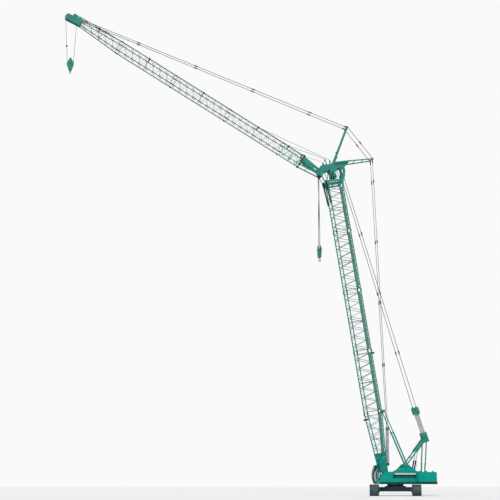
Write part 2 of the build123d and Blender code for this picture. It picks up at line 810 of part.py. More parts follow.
# Jib
jib_place = jib_frame.location
jib_plate_y = head_plate_y - head_plate / 2 - side_gap - 5
jib_full = (jib_half_depth, jib_half_width)
with BuildPart() as jib_base:
    with Locations((0, 0, jib_root)):
        add(lattice(jib_base_length - jib_root, 6, jib_full, jib_full, jib_chord, jib_lacing, 14))
    pin_x, pin_along = -jib_axis_rise, -jib_axis_start
    for sign in (1, -1):
        with BuildSketch(Plane.XZ.offset(sign * jib_plate_y)):
            with BuildLine():
                root_points = [
                    (pin_x + 18, pin_along),
                    (31, 45),
                    (jib_half_depth, jib_root + 10),
                    (jib_half_depth - 62, jib_root + 10),
                    (-18, 230),
                    (-18, 170),
                    (2, 120),
                    (-12, 50),
                    (pin_x - 18, pin_along),
                ]
                Polyline(*root_points)
                ThreePointArc((pin_x - 18, pin_along), (pin_x, pin_along - 18), (pin_x + 18, pin_along))
            make_face()
        extrude(amount=5, both=True)
        y = sign * jib_plate_y
        add(bar((pin_x - 8, y, pin_along + 10), (-jib_half_depth, y, jib_root + 10), 10, 16))
        add(rod((-66, y, 240), (-14, y, 205), 4))
    for x, along in ((10, 80), (16, 200)):
        add(cross_rod((x, 0, along), jib_plate_y, 7))
    with Locations((pin_x, 0, pin_along)):
        Cylinder(jib_pivot_radius + fit, 4 * jib_plate_y, rotation=(90, 0, 0), mode=Mode.SUBTRACT)
save_placed(jib_base, "jib_base", jib_place)

with BuildPart() as jib_insert:
    add(lattice(jib_insert_length, 15, jib_full, jib_full, jib_chord, jib_lacing, 14))
for number in range(jib_insert_count):
    along = jib_base_length + number * jib_insert_length
    save_placed(jib_insert, f"jib_insert_{number + 1}", jib_place * Location((0, 0, along)))

jib_top_start = jib_base_length + jib_insert_count * jib_insert_length
head_start = jib_top_start + jib_top_length
head_half_width = 46
with BuildPart() as jib_top:
    add(lattice(jib_top_length, 10, jib_full, (40, head_half_width), jib_chord, jib_lacing, 14))
save_placed(jib_top, "jib_top", jib_place * Location((0, 0, jib_top_start)))

jib_head_outline = [
    (-50, head_start),
    (jib_tip_rise - 56, jib_tip_along + 20),
    (jib_tip_rise - 46, jib_tip_along + 44),
    (jib_tip_rise - 10, jib_tip_along + 48),
    (jib_tip_rise + 30, jib_tip_along + 34),
    (jib_tip_rise + 38, jib_tip_along - 40),
    (56, jib_tip_along - 44),
    (72, jib_tip_along - 72),
    (44, jib_pendant_along + 38),
    (jib_pendant_rise + 12, jib_pendant_along + 26),
    (jib_pendant_rise + 12, jib_pendant_along - 12),
    (46, head_start),
]
with BuildPart() as jib_head:
    for sign in (1, -1):
        with BuildSketch(Plane.XZ.offset(sign * head_half_width)):
            with BuildLine():
                Polyline(*jib_head_outline, close=True)
            make_face()
        extrude(amount=3, both=True)
    for x, along, radius in (
        (-30, head_start + 24, 6),
        (52, jib_tip_along - 72, 5),
        (jib_pendant_rise, jib_pendant_along, 5),
        (jib_tip_rise, jib_tip_along, 6),
    ):
        add(cross_rod((x, 0, along), head_half_width, radius))
    for y in (-8, 8):
        add(cross_rod((52, y, jib_tip_along - 72), 5, 22))
save_placed(jib_head, "jib_head", jib_place)

# Struts, which share one pin on the boom head
front_tip = strut_pin + Vector(cos(radians(front_strut_angle)), 0, sin(radians(front_strut_angle))) * strut_length
rear_tip = strut_pin + Vector(cos(radians(rear_strut_angle)), 0, sin(radians(rear_strut_angle))) * strut_length
strut_kinds = [
    # name, tip, leg's distance from the mid-plane at the pin and at the tip, straight run, leg's depth,
    # cross bars' places along the leg
    ("front_strut", front_tip, front_strut_y, front_strut_y, 130, 32, (180, 370, 560)),
    ("rear_strut", rear_tip, rear_strut_y, strut_tip_y, 250, 20, (320, 450, 570)),
]
strut_pendant_y = strut_tip_y + strut_leg / 2 + pendant_radius + 1
for name, tip, root_y, tip_y, straight, depth, cross_places in strut_kinds:
    with BuildPart() as strut:
        reach = (tip - strut_pin).normalized()
        for sign in (1, -1):
            root = strut_pin + Vector(0, sign * root_y, 0)
            bend = root + reach * straight
            end = tip + Vector(0, sign * tip_y, 0)
            add(bar(root, bend + reach * 4, strut_leg, depth))
            add(bar(bend, end, strut_leg * 0.8, depth * 0.85))
            add(cross_rod(root, strut_leg / 2, 18))
            add(cross_rod(end, strut_leg / 2, 14))
        for place in cross_places:
            share = min(max((place - straight) / (strut_length - straight), 0), 1)
            half = root_y + (tip_y - root_y) * share
            add(cross_rod(strut_pin + reach * place, half, 5))
        add(cross_rod(tip, strut_tip_y - 10, 8))
        add(cross_rod(tip, strut_pendant_y + 4, 6))
        with Locations(strut_pin):
            Cylinder(8 + fit, 4 * root_y, rotation=(90, 0, 0), mode=Mode.SUBTRACT)
    save(strut, name)

with BuildPart() as strut_pendants:
    for sign in (1, -1):
        y = Vector(0, sign * strut_pendant_y, 0)
        add(rod(front_tip + y, rear_tip + y, pendant_radius))
        for end in (front_tip, rear_tip):
            add(cross_rod(end + y, 3, 11))
        middle = (front_tip + rear_tip) * 0.5 + y
        along = (rear_tip - front_tip).normalized()
        add(rod(middle - along * 24, middle + along * 24, pendant_radius * 1.8))
    for end in (front_tip, rear_tip):
        with Locations(end):
            Cylinder(6 + fit, 4 * strut_pendant_y, rotation=(90, 0, 0), mode=Mode.SUBTRACT)
save(strut_pendants, "strut_pendants")

# Pendants: main stays of the boom, the jib and the rear strut


def stay(start, end, eye):
    """A pendant from its pinned end to its open end, with a link at every joint of its lengths."""
    start, end = Vector(start), Vector(end)
    run = end - start
    along = run.normalized()
    bars = [rod(start, end, pendant_radius), cross_rod(start, 3, eye), cross_rod(end, 3, eye)]
    for step in range(1, int(run.length / link_pitch) + 1):
        spot = start + along * (step * link_pitch)
        bars.append(rod(spot - along * 20, spot + along * 20, pendant_radius * 1.9))
    return bars


jib_pendant_pin = on_jib(jib_pendant_rise, 0, jib_pendant_along)
jib_pendant_end = front_tip + (jib_pendant_pin - front_tip).normalized() * 48
with BuildPart() as jib_pendants:
    for sign in (1, -1):
        near = jib_pendant_pin + Vector(0, sign * (jib_pendant_y - 4), 0)
        far = jib_pendant_end + Vector(0, sign * backstay_y, 0)
        add(stay(near, far, 10))
    with Locations(jib_pendant_pin):
        Cylinder(5 + fit, 4 * jib_pendant_y, rotation=(90, 0, 0), mode=Mode.SUBTRACT)
save(jib_pendants, "jib_pendants")

boom_pendant_pin = on_boom(pendant_pin_rear, 0, pendant_pin_along)
with BuildPart() as boom_pendants:
    for sign in (1, -1):
        near = boom_pendant_pin + Vector(0, sign * pendant_pin_y, 0)
        far = bridle_centre + Vector(0, sign * bridle_y, 0)
        add(stay(near, far, 11))
    with Locations(boom_pendant_pin):
        Cylinder(6 + fit, 4 * bridle_y, rotation=(90, 0, 0), mode=Mode.SUBTRACT)
save(boom_pendants, "boom_pendants")

# Boom hoist: a sheave block on the gantry, the bridle and the ropes between them
hoist_run = (bridle_centre - gantry_top).normalized()
hoist_sheave = 30
head_sheave_reach = 46
with BuildPart() as gantry_head:
    add(cross_rod(gantry_top, 52, 20))
    for sign in (1, -1):
        y = Vector(0, sign * 48, 0)
        add(bar(gantry_top + y - hoist_run * 62, gantry_top + y + hoist_run * 80, 6, 80))
    add(cross_rod(gantry_top + hoist_run * head_sheave_reach, 44, hoist_sheave))
    add(cross_rod(gantry_top + hoist_run * head_sheave_reach, 50, 7))
    with Locations(gantry_top):
        Cylinder(9 + fit, 300, rotation=(90, 0, 0), mode=Mode.SUBTRACT)
save(gantry_head, "gantry_head")

with BuildPart() as bridle:
    block = bridle_centre - hoist_run * 46
    add(cross_rod(block, bridle_y + 10, 9))
    add(cross_rod(block, 42, hoist_sheave))
    for sign in (1, -1):
        y = Vector(0, sign * 50, 0)
        add(bar(block + y - hoist_run * 52, block + y + hoist_run * 50, 6, 84))
        for cheek in (-1, 1):
            y = Vector(0, sign * bridle_y + cheek * 8, 0)
            add(bar(block + y, bridle_centre + hoist_run * 16 + y, 4, 26))
save(bridle, "bridle")

rope_rows = [-36, -24, -12, 0, 12, 24, 36]
with BuildPart() as boom_hoist_rope:
    for y in rope_rows:
        low_end = gantry_top + hoist_run * (head_sheave_reach + hoist_sheave + fit) + Vector(0, y, 0)
        add(rod(low_end, block - hoist_run * (hoist_sheave + fit) + Vector(0, y, 0), rope_radius))
save(boom_hoist_rope, "boom_hoist_rope")

# Jib hoist: a block on the boom base, a running block and the pendants up to the rear strut
luff_anchor = on_boom(luff_anchor_rear, 0, luff_anchor_along)
luff_run = (luff_block - luff_anchor).normalized()
with BuildPart() as jib_hoist_anchor:
    add(cross_rod(luff_anchor, 25, 22))
    add(cross_rod(luff_anchor, 36, 6))
save(jib_hoist_anchor, "jib_hoist_anchor")

rear_stay_end = rear_tip + (luff_block - rear_tip).normalized() * 56
with BuildPart() as backstay_pendants:
    for sign in (1, -1):
        add(stay(luff_block + Vector(0, sign * 34, 0), rear_stay_end + Vector(0, sign * backstay_y, 0), 9))
save(backstay_pendants, "backstay_pendants")

with BuildPart() as jib_hoist_block:
    add(cross_rod(luff_block - luff_run * 20, 26, 20))
    for y in (-28, 28):
        low = luff_block - luff_run * 34 + Vector(0, y, 0)
        add(bar(low, luff_block + luff_run * 12 + Vector(0, y, 0), 4, 30))
save(jib_hoist_block, "jib_hoist_block")

with BuildPart() as jib_luff_rope:
    for y in (-18, -6, 6, 18):
        low = luff_anchor + luff_run * (22 + fit) + Vector(0, y, 0)
        add(rod(low, luff_block - luff_run * (40 + fit) + Vector(0, y, 0), rope_radius))
save(jib_luff_rope, "jib_luff_rope")

# Backstops: a tube from the frame and a rod from the boom, which slides in it
backstop_top = on_boom(backstop_rear, 0, backstop_along)
backstop_run = backstop_top - backstop_foot
backstop_way = backstop_run.normalized()
with BuildPart() as backstop_outer:
    for sign in (1, -1):
        y = Vector(0, sign * backstop_y, 0)
        add(rod(backstop_foot + y, backstop_foot + backstop_way * 560 + y, backstop_tube))
        add(rod(backstop_foot + backstop_way * 536 + y, backstop_foot + backstop_way * 560 + y, backstop_tube + 3))
        add(cross_rod(backstop_foot + y, 7, 14))
    for sign in (1, -1):
        y = Vector(0, sign * backstop_y, 0)
        add([rod(backstop_foot + backstop_way * 20 + y, backstop_foot + backstop_way * 600 + y, backstop_rod + fit)],
            mode=Mode.SUBTRACT)
        add([cross_rod(backstop_foot + y, 12, 5 + fit)], mode=Mode.SUBTRACT)
save(backstop_outer, "backstop_outer")

with BuildPart() as backstop_inner:
    for sign in (1, -1):
        y = Vector(0, sign * backstop_y, 0)
        add(rod(backstop_foot + backstop_way * 300 + y, backstop_top + y, backstop_rod))
save(backstop_inner, "backstop_inner")

# Hooks
falls = [
    # row at the head, side along X in the block, side along Y in the block
    (-1.5, -1, -1),
    (-0.5, 1, -1),
    (0.5, -1, 1),
    (1.5, 1, 1),
]
with BuildPart() as boom_hook_sheaves:
    for row, x_side, y_side in falls:
        add(cross_rod(jib_pivot + Vector(0, row * boom_fall_pitch, 0), 5, point_sheave_radius))
    with Locations(jib_pivot):
        Cylinder(jib_pivot_radius + fit, 200, rotation=(90, 0, 0), mode=Mode.SUBTRACT)
save(boom_hook_sheaves, "boom_hook_sheaves")

tip_sheave_pin = on_jib(jib_tip_rise, 0, jib_tip_along)
with BuildPart() as tip_sheave:
    for y in (-12, 0, 12):
        add(cross_rod(tip_sheave_pin + Vector(0, y, 0), 5, tip_sheave_radius))
    with Locations(tip_sheave_pin):
        Cylinder(6 + fit, 200, rotation=(90, 0, 0), mode=Mode.SUBTRACT)
save(tip_sheave, "tip_sheave")

boom_rope_x = jib_pivot.X - point_sheave_radius - rope_radius - fit
boom_hook_top = Vector(boom_rope_x, 0, jib_pivot.Z - boom_hook_drop)
tip_hook_top = tip_sheave_pin + Vector(tip_hook_back, 0, -tip_hook_drop)
widest = 0.38
tip_block_height = 186
boom_block_height = 182
tip_block_z = tip_hook_top.Z - widest * tip_block_height
boom_block_z = boom_hook_top.Z - widest * boom_block_height
hooks = [
    # name, top of the block, half width, height, cheeks' distance from the middle, turn about Z, hook size,
    # sheave radius, sheaves' places across the cheeks
    ("tip_hook", tip_hook_top, 51, tip_block_height, 12, 0, 14, tip_block_sheave, (0,)),
    ("boom_hook", boom_hook_top, 50, boom_block_height, 20, 90, 20, boom_block_sheave, (-boom_fall_x, boom_fall_x)),
]
for name, top, half, tall, cheek_y, turn, size, radius, sheave_places in hooks:
    block_outline = [
        (-0.3 * half, 0),
        (-half, -0.3 * tall),
        (-half, -0.46 * tall),
        (-0.3 * half, -tall),
        (0.3 * half, -tall),
        (half, -0.46 * tall),
        (half, -0.3 * tall),
        (0.3 * half, 0),
    ]
    with BuildPart() as block:
        for y in (-cheek_y, cheek_y):
            with BuildSketch(Plane.XZ.offset(y)):
                with BuildLine():
                    Polyline(*block_outline, close=True)
                make_face()
            extrude(amount=3, both=True)
        add(cross_rod((0, 0, -widest * tall), cheek_y + 6, 8))
        for y in sheave_places:
            add(cross_rod((0, y, -widest * tall), 5, radius))
        with Locations((0, 0, 12 - tall)):
            Box(0.5 * half, 2 * cheek_y, 24)
    with BuildPart() as hook:
        with Locations(Location(top, (0, 0, turn))):
            add(block.part)
        stem = Vector(top.X, 0, top.Z - tall)
        add(rod(stem + Vector(0, 0, 10), stem - Vector(0, 0, size), size * 0.3))
        with BuildSketch(Plane.XZ):
            with Locations((stem.X, stem.Z - 1.9 * size)):
                Circle(size)
                Circle(size * 0.5, mode=Mode.SUBTRACT)
                with Locations((-size * 0.75, size * 0.55)):
                    Rectangle(size * 1.1, size * 0.9, mode=Mode.SUBTRACT)
        extrude(amount=size * 0.26, both=True)
    save(hook, name)

with BuildPart() as boom_hook_rope:
    for row, x_side, y_side in falls:
        high_end = (boom_rope_x, row * boom_fall_pitch, jib_pivot.Z)
        low_y = y_side * (boom_block_sheave + rope_radius + fit)
        add(rod(high_end, (boom_rope_x + x_side * boom_fall_x, low_y, boom_block_z), rope_radius))
save(boom_hook_rope, "boom_hook_rope")

with BuildPart() as tip_hook_rope:
    end_x = tip_block_sheave + rope_radius + fit
    left_end = Vector(tip_hook_top.X - end_x, 0, tip_block_z)
    reach = left_end - tip_sheave_pin
    wrap = tip_sheave_radius + rope_radius + fit
    lean = degrees(atan2(reach.X, -reach.Z)) + degrees(asin(wrap / reach.length))
    left = tip_sheave_pin + Vector(-cos(radians(lean)), 0, -sin(radians(lean))) * wrap
    add(rod(left, left_end, rope_radius))
    right = on_jib(-tip_anchor_drop, 0, tip_anchor_along)
    add(rod(right, Vector(tip_hook_top.X + end_x, 0, tip_block_z), rope_radius))
save(tip_hook_rope, "tip_hook_rope")
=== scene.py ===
import json
import math
import bpy
import bmesh
from mathutils import Matrix, Vector


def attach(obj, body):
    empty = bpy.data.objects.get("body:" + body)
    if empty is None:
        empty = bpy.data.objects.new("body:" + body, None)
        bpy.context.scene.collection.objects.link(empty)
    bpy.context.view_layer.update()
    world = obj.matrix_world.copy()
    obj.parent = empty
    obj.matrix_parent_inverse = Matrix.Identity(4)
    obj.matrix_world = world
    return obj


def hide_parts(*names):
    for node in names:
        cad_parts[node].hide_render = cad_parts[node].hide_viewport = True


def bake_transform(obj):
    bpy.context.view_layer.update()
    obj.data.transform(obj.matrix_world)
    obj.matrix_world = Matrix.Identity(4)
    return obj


# A 1:10 model of a crawler crane with a luffing jib. The boom leans to -X and the tail is at +X.
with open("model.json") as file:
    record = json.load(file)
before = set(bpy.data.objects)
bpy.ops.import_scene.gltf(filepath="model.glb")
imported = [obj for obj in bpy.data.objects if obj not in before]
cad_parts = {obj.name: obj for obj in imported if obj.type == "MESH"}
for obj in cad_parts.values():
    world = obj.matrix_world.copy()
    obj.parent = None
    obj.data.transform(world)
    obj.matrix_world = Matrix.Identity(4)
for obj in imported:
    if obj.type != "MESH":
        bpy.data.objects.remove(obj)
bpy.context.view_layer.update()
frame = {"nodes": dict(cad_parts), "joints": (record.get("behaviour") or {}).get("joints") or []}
nodes = frame["nodes"]
pins = {j["name"]: Vector(j["pos_m"]) for j in frame["joints"] if j.get("pos_m")}
print("frame loaded:", len(nodes), "nodes")

# the boom's and jib's directions in degrees above -X, the jib's middle line off its pin, and the tracks' turn
lean = {"boom": 80.93, "jib": 30.66, "jibShift": (0.0326, 0, 0.0148), "tracks": 74}


def leanFrame(foot, degrees):
    # local Z runs along the boom, local X is on its rear or upper side
    a = math.radians(degrees)
    columns = ((math.sin(a), 0, math.cos(a)), (0, 1, 0), (-math.cos(a), 0, math.sin(a)))
    return Matrix.Translation(foot) @ Matrix(columns).transposed().to_4x4()


# Frames of the crane, the boom, the jib and the turned tracks, in the millimetres of the part's own drawing
mm = 0.001
craneMm = Matrix.Scale(mm, 4)
boomMm = leanFrame(pins["boom_luff"], lean["boom"]) @ craneMm
jibMm = leanFrame(pins["jib_luff"], lean["jib"]) @ Matrix.Translation(lean["jibShift"]) @ craneMm
trackMm = Matrix.Rotation(math.radians(lean["tracks"]), 4, "Z") @ craneMm
# "depth" has the heights where a lattice's tapers start and end, each with its half depth there, and
# "width" the half widths where the last taper starts and ends; "chord" is how far in from there a chord
# reaches, and below the height "plain" there are plates
lattices = {
    "boom": {
        "base": boomMm,
        "depth": [(190, 42), (940, 107), (9000, 107), (9500, 107)],
        "width": [92, 92],
        "joints": [940, 1840, 2740, 3640],
        "chord": 9.5,
        "plain": 362,
    },
    "jib": {
        "base": jibMm,
        "depth": [(330, 0), (700, 73), (3514, 73), (4170, 40)],
        "width": [84, 46],
        "joints": [700, 1638, 2576, 3514],
        "chord": 7.5,
        "plain": 0,
    },
}

# Camera: the photograph's own view, from near the ground
view = {
    "place": (-5.237, -18.264, 0.16),
    "turnDeg": 9.673,  # from +Y towards +X
    "tiltDeg": 10.3025,
    "lensMm": 92.88,
    "sensorMm": 36,
}


def makeCamera():
    camera = bpy.data.objects.new("camera", bpy.data.cameras.new("camera"))
    camera.location = view["place"]
    camera.rotation_euler = (math.radians(90 + view["tiltDeg"]), 0, math.radians(-view["turnDeg"]))
    camera.data.lens = view["lensMm"]
    camera.data.sensor_width = view["sensorMm"]
    camera.data.clip_end = 200
    bpy.context.scene.collection.objects.link(camera)
    bpy.context.scene.camera = camera


def setInputs(tree, node, inputs):
    # each input takes a value, or a link from another node's output
    for name, value in inputs.items():
        if isinstance(value, bpy.types.NodeSocket):
            tree.links.new(value, node.inputs[name])
        else:
            node.inputs[name].default_value = value


def addNode(tree, kind, inputs=None, **settings):
    # a new shader node with its settings and inputs
    node = tree.nodes.new("ShaderNode" + kind)
    for name, value in settings.items():
        setattr(node, name, value)
    setInputs(tree, node, inputs or {})
    return node


# Studio: soft light from all round and one wide sun, over a pale floor
studio = {
    "backdrop": 0.955,
    "ambient": 0.62,
    "sunStrength": 1.5,
    "sunSizeDeg": 25,
    "sunFrom": (-0.55, -1.0, 0.9),
    "floorSize": 160,
    "floorColour": (0.93, 0.93, 0.93, 1),
    "floorRoughness": 0.9,
}


def makeStudio():
    scene = bpy.context.scene
    scene.world = bpy.data.worlds.new("studio")
    scene.world.use_nodes = True
    tree = scene.world.node_tree
    tree.nodes.clear()
    # the camera, bright metal and glass see the backdrop, and the rest gets the plain light
    path = addNode(tree, "LightPath").outputs
    seen = addNode(tree, "Math", {0: path["Is Camera Ray"], 1: path["Is Glossy Ray"]}, operation="MAXIMUM")
    clear = addNode(tree, "Math", {0: seen.outputs[0], 1: path["Is Transmission Ray"]}, operation="MAXIMUM")
    lit = addNode(tree, "Background", {"Color": (1, 1, 1, 1), "Strength": studio["ambient"]})
    white = addNode(tree, "Background", {"Color": (1, 1, 1, 1), "Strength": studio["backdrop"]})
    mix = addNode(tree, "MixShader", {0: clear.outputs[0], 1: lit.outputs[0], 2: white.outputs[0]})
    addNode(tree, "OutputWorld", {"Surface": mix.outputs[0]})

    sun = bpy.data.objects.new("sun", bpy.data.lights.new("sun", "SUN"))
    sun.data.energy = studio["sunStrength"]
    sun.data.angle = math.radians(studio["sunSizeDeg"])
    sun.rotation_euler = Vector(studio["sunFrom"]).to_track_quat("Z", "Y").to_euler()
    scene.collection.objects.link(sun)

    half = studio["floorSize"] / 2
    ground = bpy.data.meshes.new("floor")
    corners = [(-half, -half, 0), (half, -half, 0), (half, half, 0), (-half, half, 0)]
    ground.from_pydata(corners, [], [(0, 1, 2, 3)])
    floor = bpy.data.objects.new("floor", ground)
    scene.collection.objects.link(floor)
    pale = bpy.data.materials.new("paleFloor")
    pale.use_nodes = True
    shader = pale.node_tree.nodes["Principled BSDF"]
    looks = {"Base Color": studio["floorColour"], "Roughness": studio["floorRoughness"]}
    setInputs(pale.node_tree, shader, looks)
    ground.materials.append(pale)


# Finishes: two colours mixed in patches, streaks of grime, and a fine grain in the roughness and the bump.
# The last number of a grime is its share; "patches" and "grain" are scales of noise.
plainFinish = {"metallic": 0, "specular": 0.5, "coat": 0, "slot": "green_paint"}
finishes = {
    "greenPaint": {
        "colours": [(0.000, 0.325, 0.262), (0.000, 0.275, 0.222)], "grime": (0.030, 0.070, 0.060, 0.14),
        "roughness": (0.30, 0.48), "patches": 5, "grain": 160, "bump": 0.06, "specular": 0.09, "coat": 0.05,
    },
    "upperGreen": {
        "colours": [(0.024, 0.262, 0.205), (0.030, 0.215, 0.170)], "grime": (0.035, 0.060, 0.055, 0.3),
        "roughness": (0.34, 0.52), "patches": 6, "grain": 170, "bump": 0.07, "specular": 0.2, "coat": 0.03,
    },
    "boomFitting": {
        "colours": [(0.004, 0.105, 0.085), (0.006, 0.085, 0.070)], "grime": (0.05, 0.06, 0.055, 0.25),
        "roughness": (0.36, 0.55), "patches": 9, "grain": 220, "bump": 0.1, "specular": 0.2,
    },
    "boomPaint": {
        "colours": [(0.001, 0.250, 0.198), (0.002, 0.205, 0.162)], "grime": (0.030, 0.070, 0.060, 0.2),
        "roughness": (0.34, 0.52), "patches": 6, "grain": 190, "bump": 0.08, "specular": 0.2, "coat": 0.03,
        "lattice": "boom", "lacing": (0.075, 0.215, 0.190),
    },
    "jibPaint": {
        "colours": [(0.010, 0.062, 0.060), (0.016, 0.078, 0.074)], "grime": (0.030, 0.060, 0.060, 0.2),
        "roughness": (0.36, 0.55), "patches": 6, "grain": 190, "bump": 0.08, "specular": 0.2, "coat": 0.03,
        "lattice": "jib", "lacing": (0.20, 0.33, 0.36),
    },
    "weightPaint": {
        "colours": [(0.000, 0.335, 0.270), (0.000, 0.280, 0.226)], "grime": (0.05, 0.08, 0.075, 0.16),
        "slot": "counterweight_paint", "roughness": (0.42, 0.6),
        "patches": 7, "grain": 90, "bump": 0.22, "specular": 0.09, "coat": 0.03,
    },
    "darkSteel": {
        "colours": [(0.009, 0.028, 0.038), (0.014, 0.036, 0.046)], "grime": (0.035, 0.045, 0.048, 0.2),
        "slot": "black_steel", "roughness": (0.38, 0.6),
        "patches": 9, "grain": 140, "bump": 0.1, "specular": 0.12,
    },
    "slatePaint": {
        "colours": [(0.016, 0.040, 0.052), (0.024, 0.052, 0.064)], "grime": (0.085, 0.085, 0.075, 0.22),
        "slot": "black_steel", "roughness": (0.42, 0.62),
        "patches": 8, "grain": 130, "bump": 0.12, "specular": 0.22,
    },
    "trackSteel": {
        "colours": [(0.045, 0.070, 0.085), (0.065, 0.095, 0.108)], "grime": (0.13, 0.12, 0.10, 0.3),
        "slot": "track_steel", "roughness": (0.5, 0.75), "metallic": 0.25,
        "patches": 14, "grain": 110, "bump": 0.3, "specular": 0.22,
    },
    "ropeSteel": {
        "colours": [(0.27, 0.285, 0.29), (0.20, 0.215, 0.22)], "grime": (0.08, 0.075, 0.07, 0.25),
        "slot": "rope", "roughness": (0.4, 0.55), "metallic": 0.55, "patches": 12, "grain": 400, "bump": 0.2,
    },
    "fallSteel": {
        "colours": [(0.62, 0.64, 0.645), (0.54, 0.56, 0.565)], "grime": (0.3, 0.3, 0.29, 0.15),
        "slot": "rope", "roughness": (0.45, 0.6), "patches": 12, "grain": 400, "bump": 0.15,
    },
    "hookRope": {
        "colours": [(0.045, 0.050, 0.052), (0.035, 0.038, 0.040)], "grime": (0.02, 0.02, 0.02, 0.2),
        "slot": "rope", "roughness": (0.45, 0.6), "metallic": 0.3,
        "patches": 12, "grain": 400, "bump": 0.15, "specular": 0.22,
    },
    "pendantSteel": {
        "colours": [(0.075, 0.082, 0.085), (0.110, 0.115, 0.118)], "grime": (0.10, 0.085, 0.07, 0.25),
        "slot": "rope", "roughness": (0.4, 0.6), "metallic": 0.3,
        "patches": 12, "grain": 380, "bump": 0.2, "specular": 0.22,
    },
    "brightSteel": {
        "colours": [(0.42, 0.43, 0.43), (0.33, 0.34, 0.345)], "grime": (0.12, 0.11, 0.10, 0.15),
        "slot": "rope", "roughness": (0.22, 0.4), "metallic": 0.9, "patches": 20, "grain": 300, "bump": 0.05,
    },
    # pale finish: pale panels on the cab and the house front, and on the house walls a painted highlight in
    # place of the lit top of a step above the louvres
    "palePanelAndStepHighlight": {
        "colours": [(0.62, 0.66, 0.66), (0.52, 0.57, 0.57)], "grime": (0.25, 0.25, 0.23, 0.15),
        "slot": "window_glass", "roughness": (0.15, 0.3),
        "patches": 16, "grain": 240, "bump": 0.03, "coat": 0.2,
    },
    "cabTrim": {
        "colours": [(0.030, 0.032, 0.036), (0.045, 0.047, 0.050)], "grime": (0.08, 0.075, 0.07, 0.12),
        "slot": "cab_trim", "roughness": (0.55, 0.75), "patches": 25, "grain": 700, "bump": 0.25,
    },
}
# where the noises start and stop to show, and what all finishes share
mixing = {
    "patches": (0.35, 0.65), "streaks": (0.52, 0.78), "grain": (0.3, 0.7),
    "streakScale": 3.1, "bumpHeight": 0.001, "coatRoughness": 0.15,
}
materials = {}


def makeFinish(name):
    look = {**plainFinish, **finishes[name]}
    material = bpy.data.materials.new(name)
    material.use_nodes = True
    tree = material.node_tree
    place = addNode(tree, "TexCoord").outputs["Object"]

    def noise(scale, detail):
        inputs = {"Vector": place, "Scale": scale, "Detail": detail}
        return addNode(tree, "TexNoise", inputs).outputs["Fac"]

    def ramp(source, low, high, first, last):
        inputs = {"Value": source, "From Min": low, "From Max": high, "To Min": first, "To Max": last}
        return addNode(tree, "MapRange", inputs).outputs["Result"]

    def mixColour(share, first, last):
        inputs = {"Factor": share, "A": first, "B": last}
        return addNode(tree, "Mix", inputs, data_type="RGBA").outputs["Result"]

    def mathStep(kind, first, second=0.0):
        return addNode(tree, "Math", {0: first, 1: second}, operation=kind).outputs[0]

    def alongAxis(base, axis):
        # the distance from a lattice's foot along one of its own directions
        direction = base.to_3x3().normalized().col[axis].copy()
        measure = addNode(tree, "VectorMath", {0: place, 1: direction}, operation="DOT_PRODUCT")
        return mathStep("SUBTRACT", measure.outputs["Value"], base.translation.dot(direction))

    def onChord(lines):
        # 1 on the chords and on the plates below the plain height, 0 on the lacing
        base = lines["base"]
        along = alongAxis(base, 2)
        spots = [(height * mm, half * mm) for height, half in lines["depth"]]
        (start, thin), (full, deep), (taper, _), (end, last) = spots
        depth = mathStep("MINIMUM", ramp(along, start, full, thin, deep), ramp(along, taper, end, deep, last))
        width = ramp(along, taper, end, *(half * mm for half in lines["width"]))
        outside = []
        for axis, half in ((0, depth), (1, width)):
            edge = mathStep("SUBTRACT", half, lines["chord"] * mm)
            outside.append(mathStep("GREATER_THAN", mathStep("ABSOLUTE", alongAxis(base, axis)), edge))
        plain = mathStep("LESS_THAN", along, lines["plain"] * mm)
        return mathStep("MAXIMUM", mathStep("MULTIPLY", *outside), plain)

    patches = noise(look["patches"], 4)
    streaks = noise(look["patches"] * mixing["streakScale"], 6)
    grain = noise(look["grain"], 3)
    paint = mixColour(ramp(patches, *mixing["patches"], 0, 1), *((*colour, 1) for colour in look["colours"]))
    if "lattice" in look:
        paint = mixColour(onChord(lattices[look["lattice"]]), (*look["lacing"], 1), paint)
    *grime, share = look["grime"]
    grimy = ramp(streaks, *mixing["streaks"], 0, share)
    bump = addNode(tree, "Bump", {
        "Height": grain, "Strength": look["bump"], "Distance": mixing["bumpHeight"],
    })
    setInputs(tree, tree.nodes["Principled BSDF"], {
        "Base Color": mixColour(grimy, paint, (*grime, 1)),
        "Roughness": ramp(grain, *mixing["grain"], *look["roughness"]),
        "Metallic": look["metallic"],
        "Specular IOR Level": look["specular"],
        "Coat Weight": look["coat"],
        "Coat Roughness": mixing["coatRoughness"],
        "Normal": bump.outputs["Normal"],
    })
    materials[name] = material


glassLook = {
    "colour": (0.30, 0.36, 0.37, 1), "roughness": (0.06, 0.15), "hazeScale": 18,
    "ior": 1.45, "transmission": 0.75,
}


def makeGlass():
    glass = bpy.data.materials.new("windowGlass")
    glass.use_nodes = True
    tree = glass.node_tree
    place = addNode(tree, "TexCoord").outputs["Object"]
    haze = addNode(tree, "TexNoise", {"Vector": place, "Scale": glassLook["hazeScale"]}).outputs["Fac"]
    clear, dim = glassLook["roughness"]
    spread = addNode(tree, "MapRange", {"Value": haze, "To Min": clear, "To Max": dim})
    setInputs(tree, tree.nodes["Principled BSDF"], {
        "Base Color": glassLook["colour"],
        "Roughness": spread.outputs["Result"],
        "IOR": glassLook["ior"],
        "Transmission Weight": glassLook["transmission"],
    })
    materials["windowGlass"] = glass


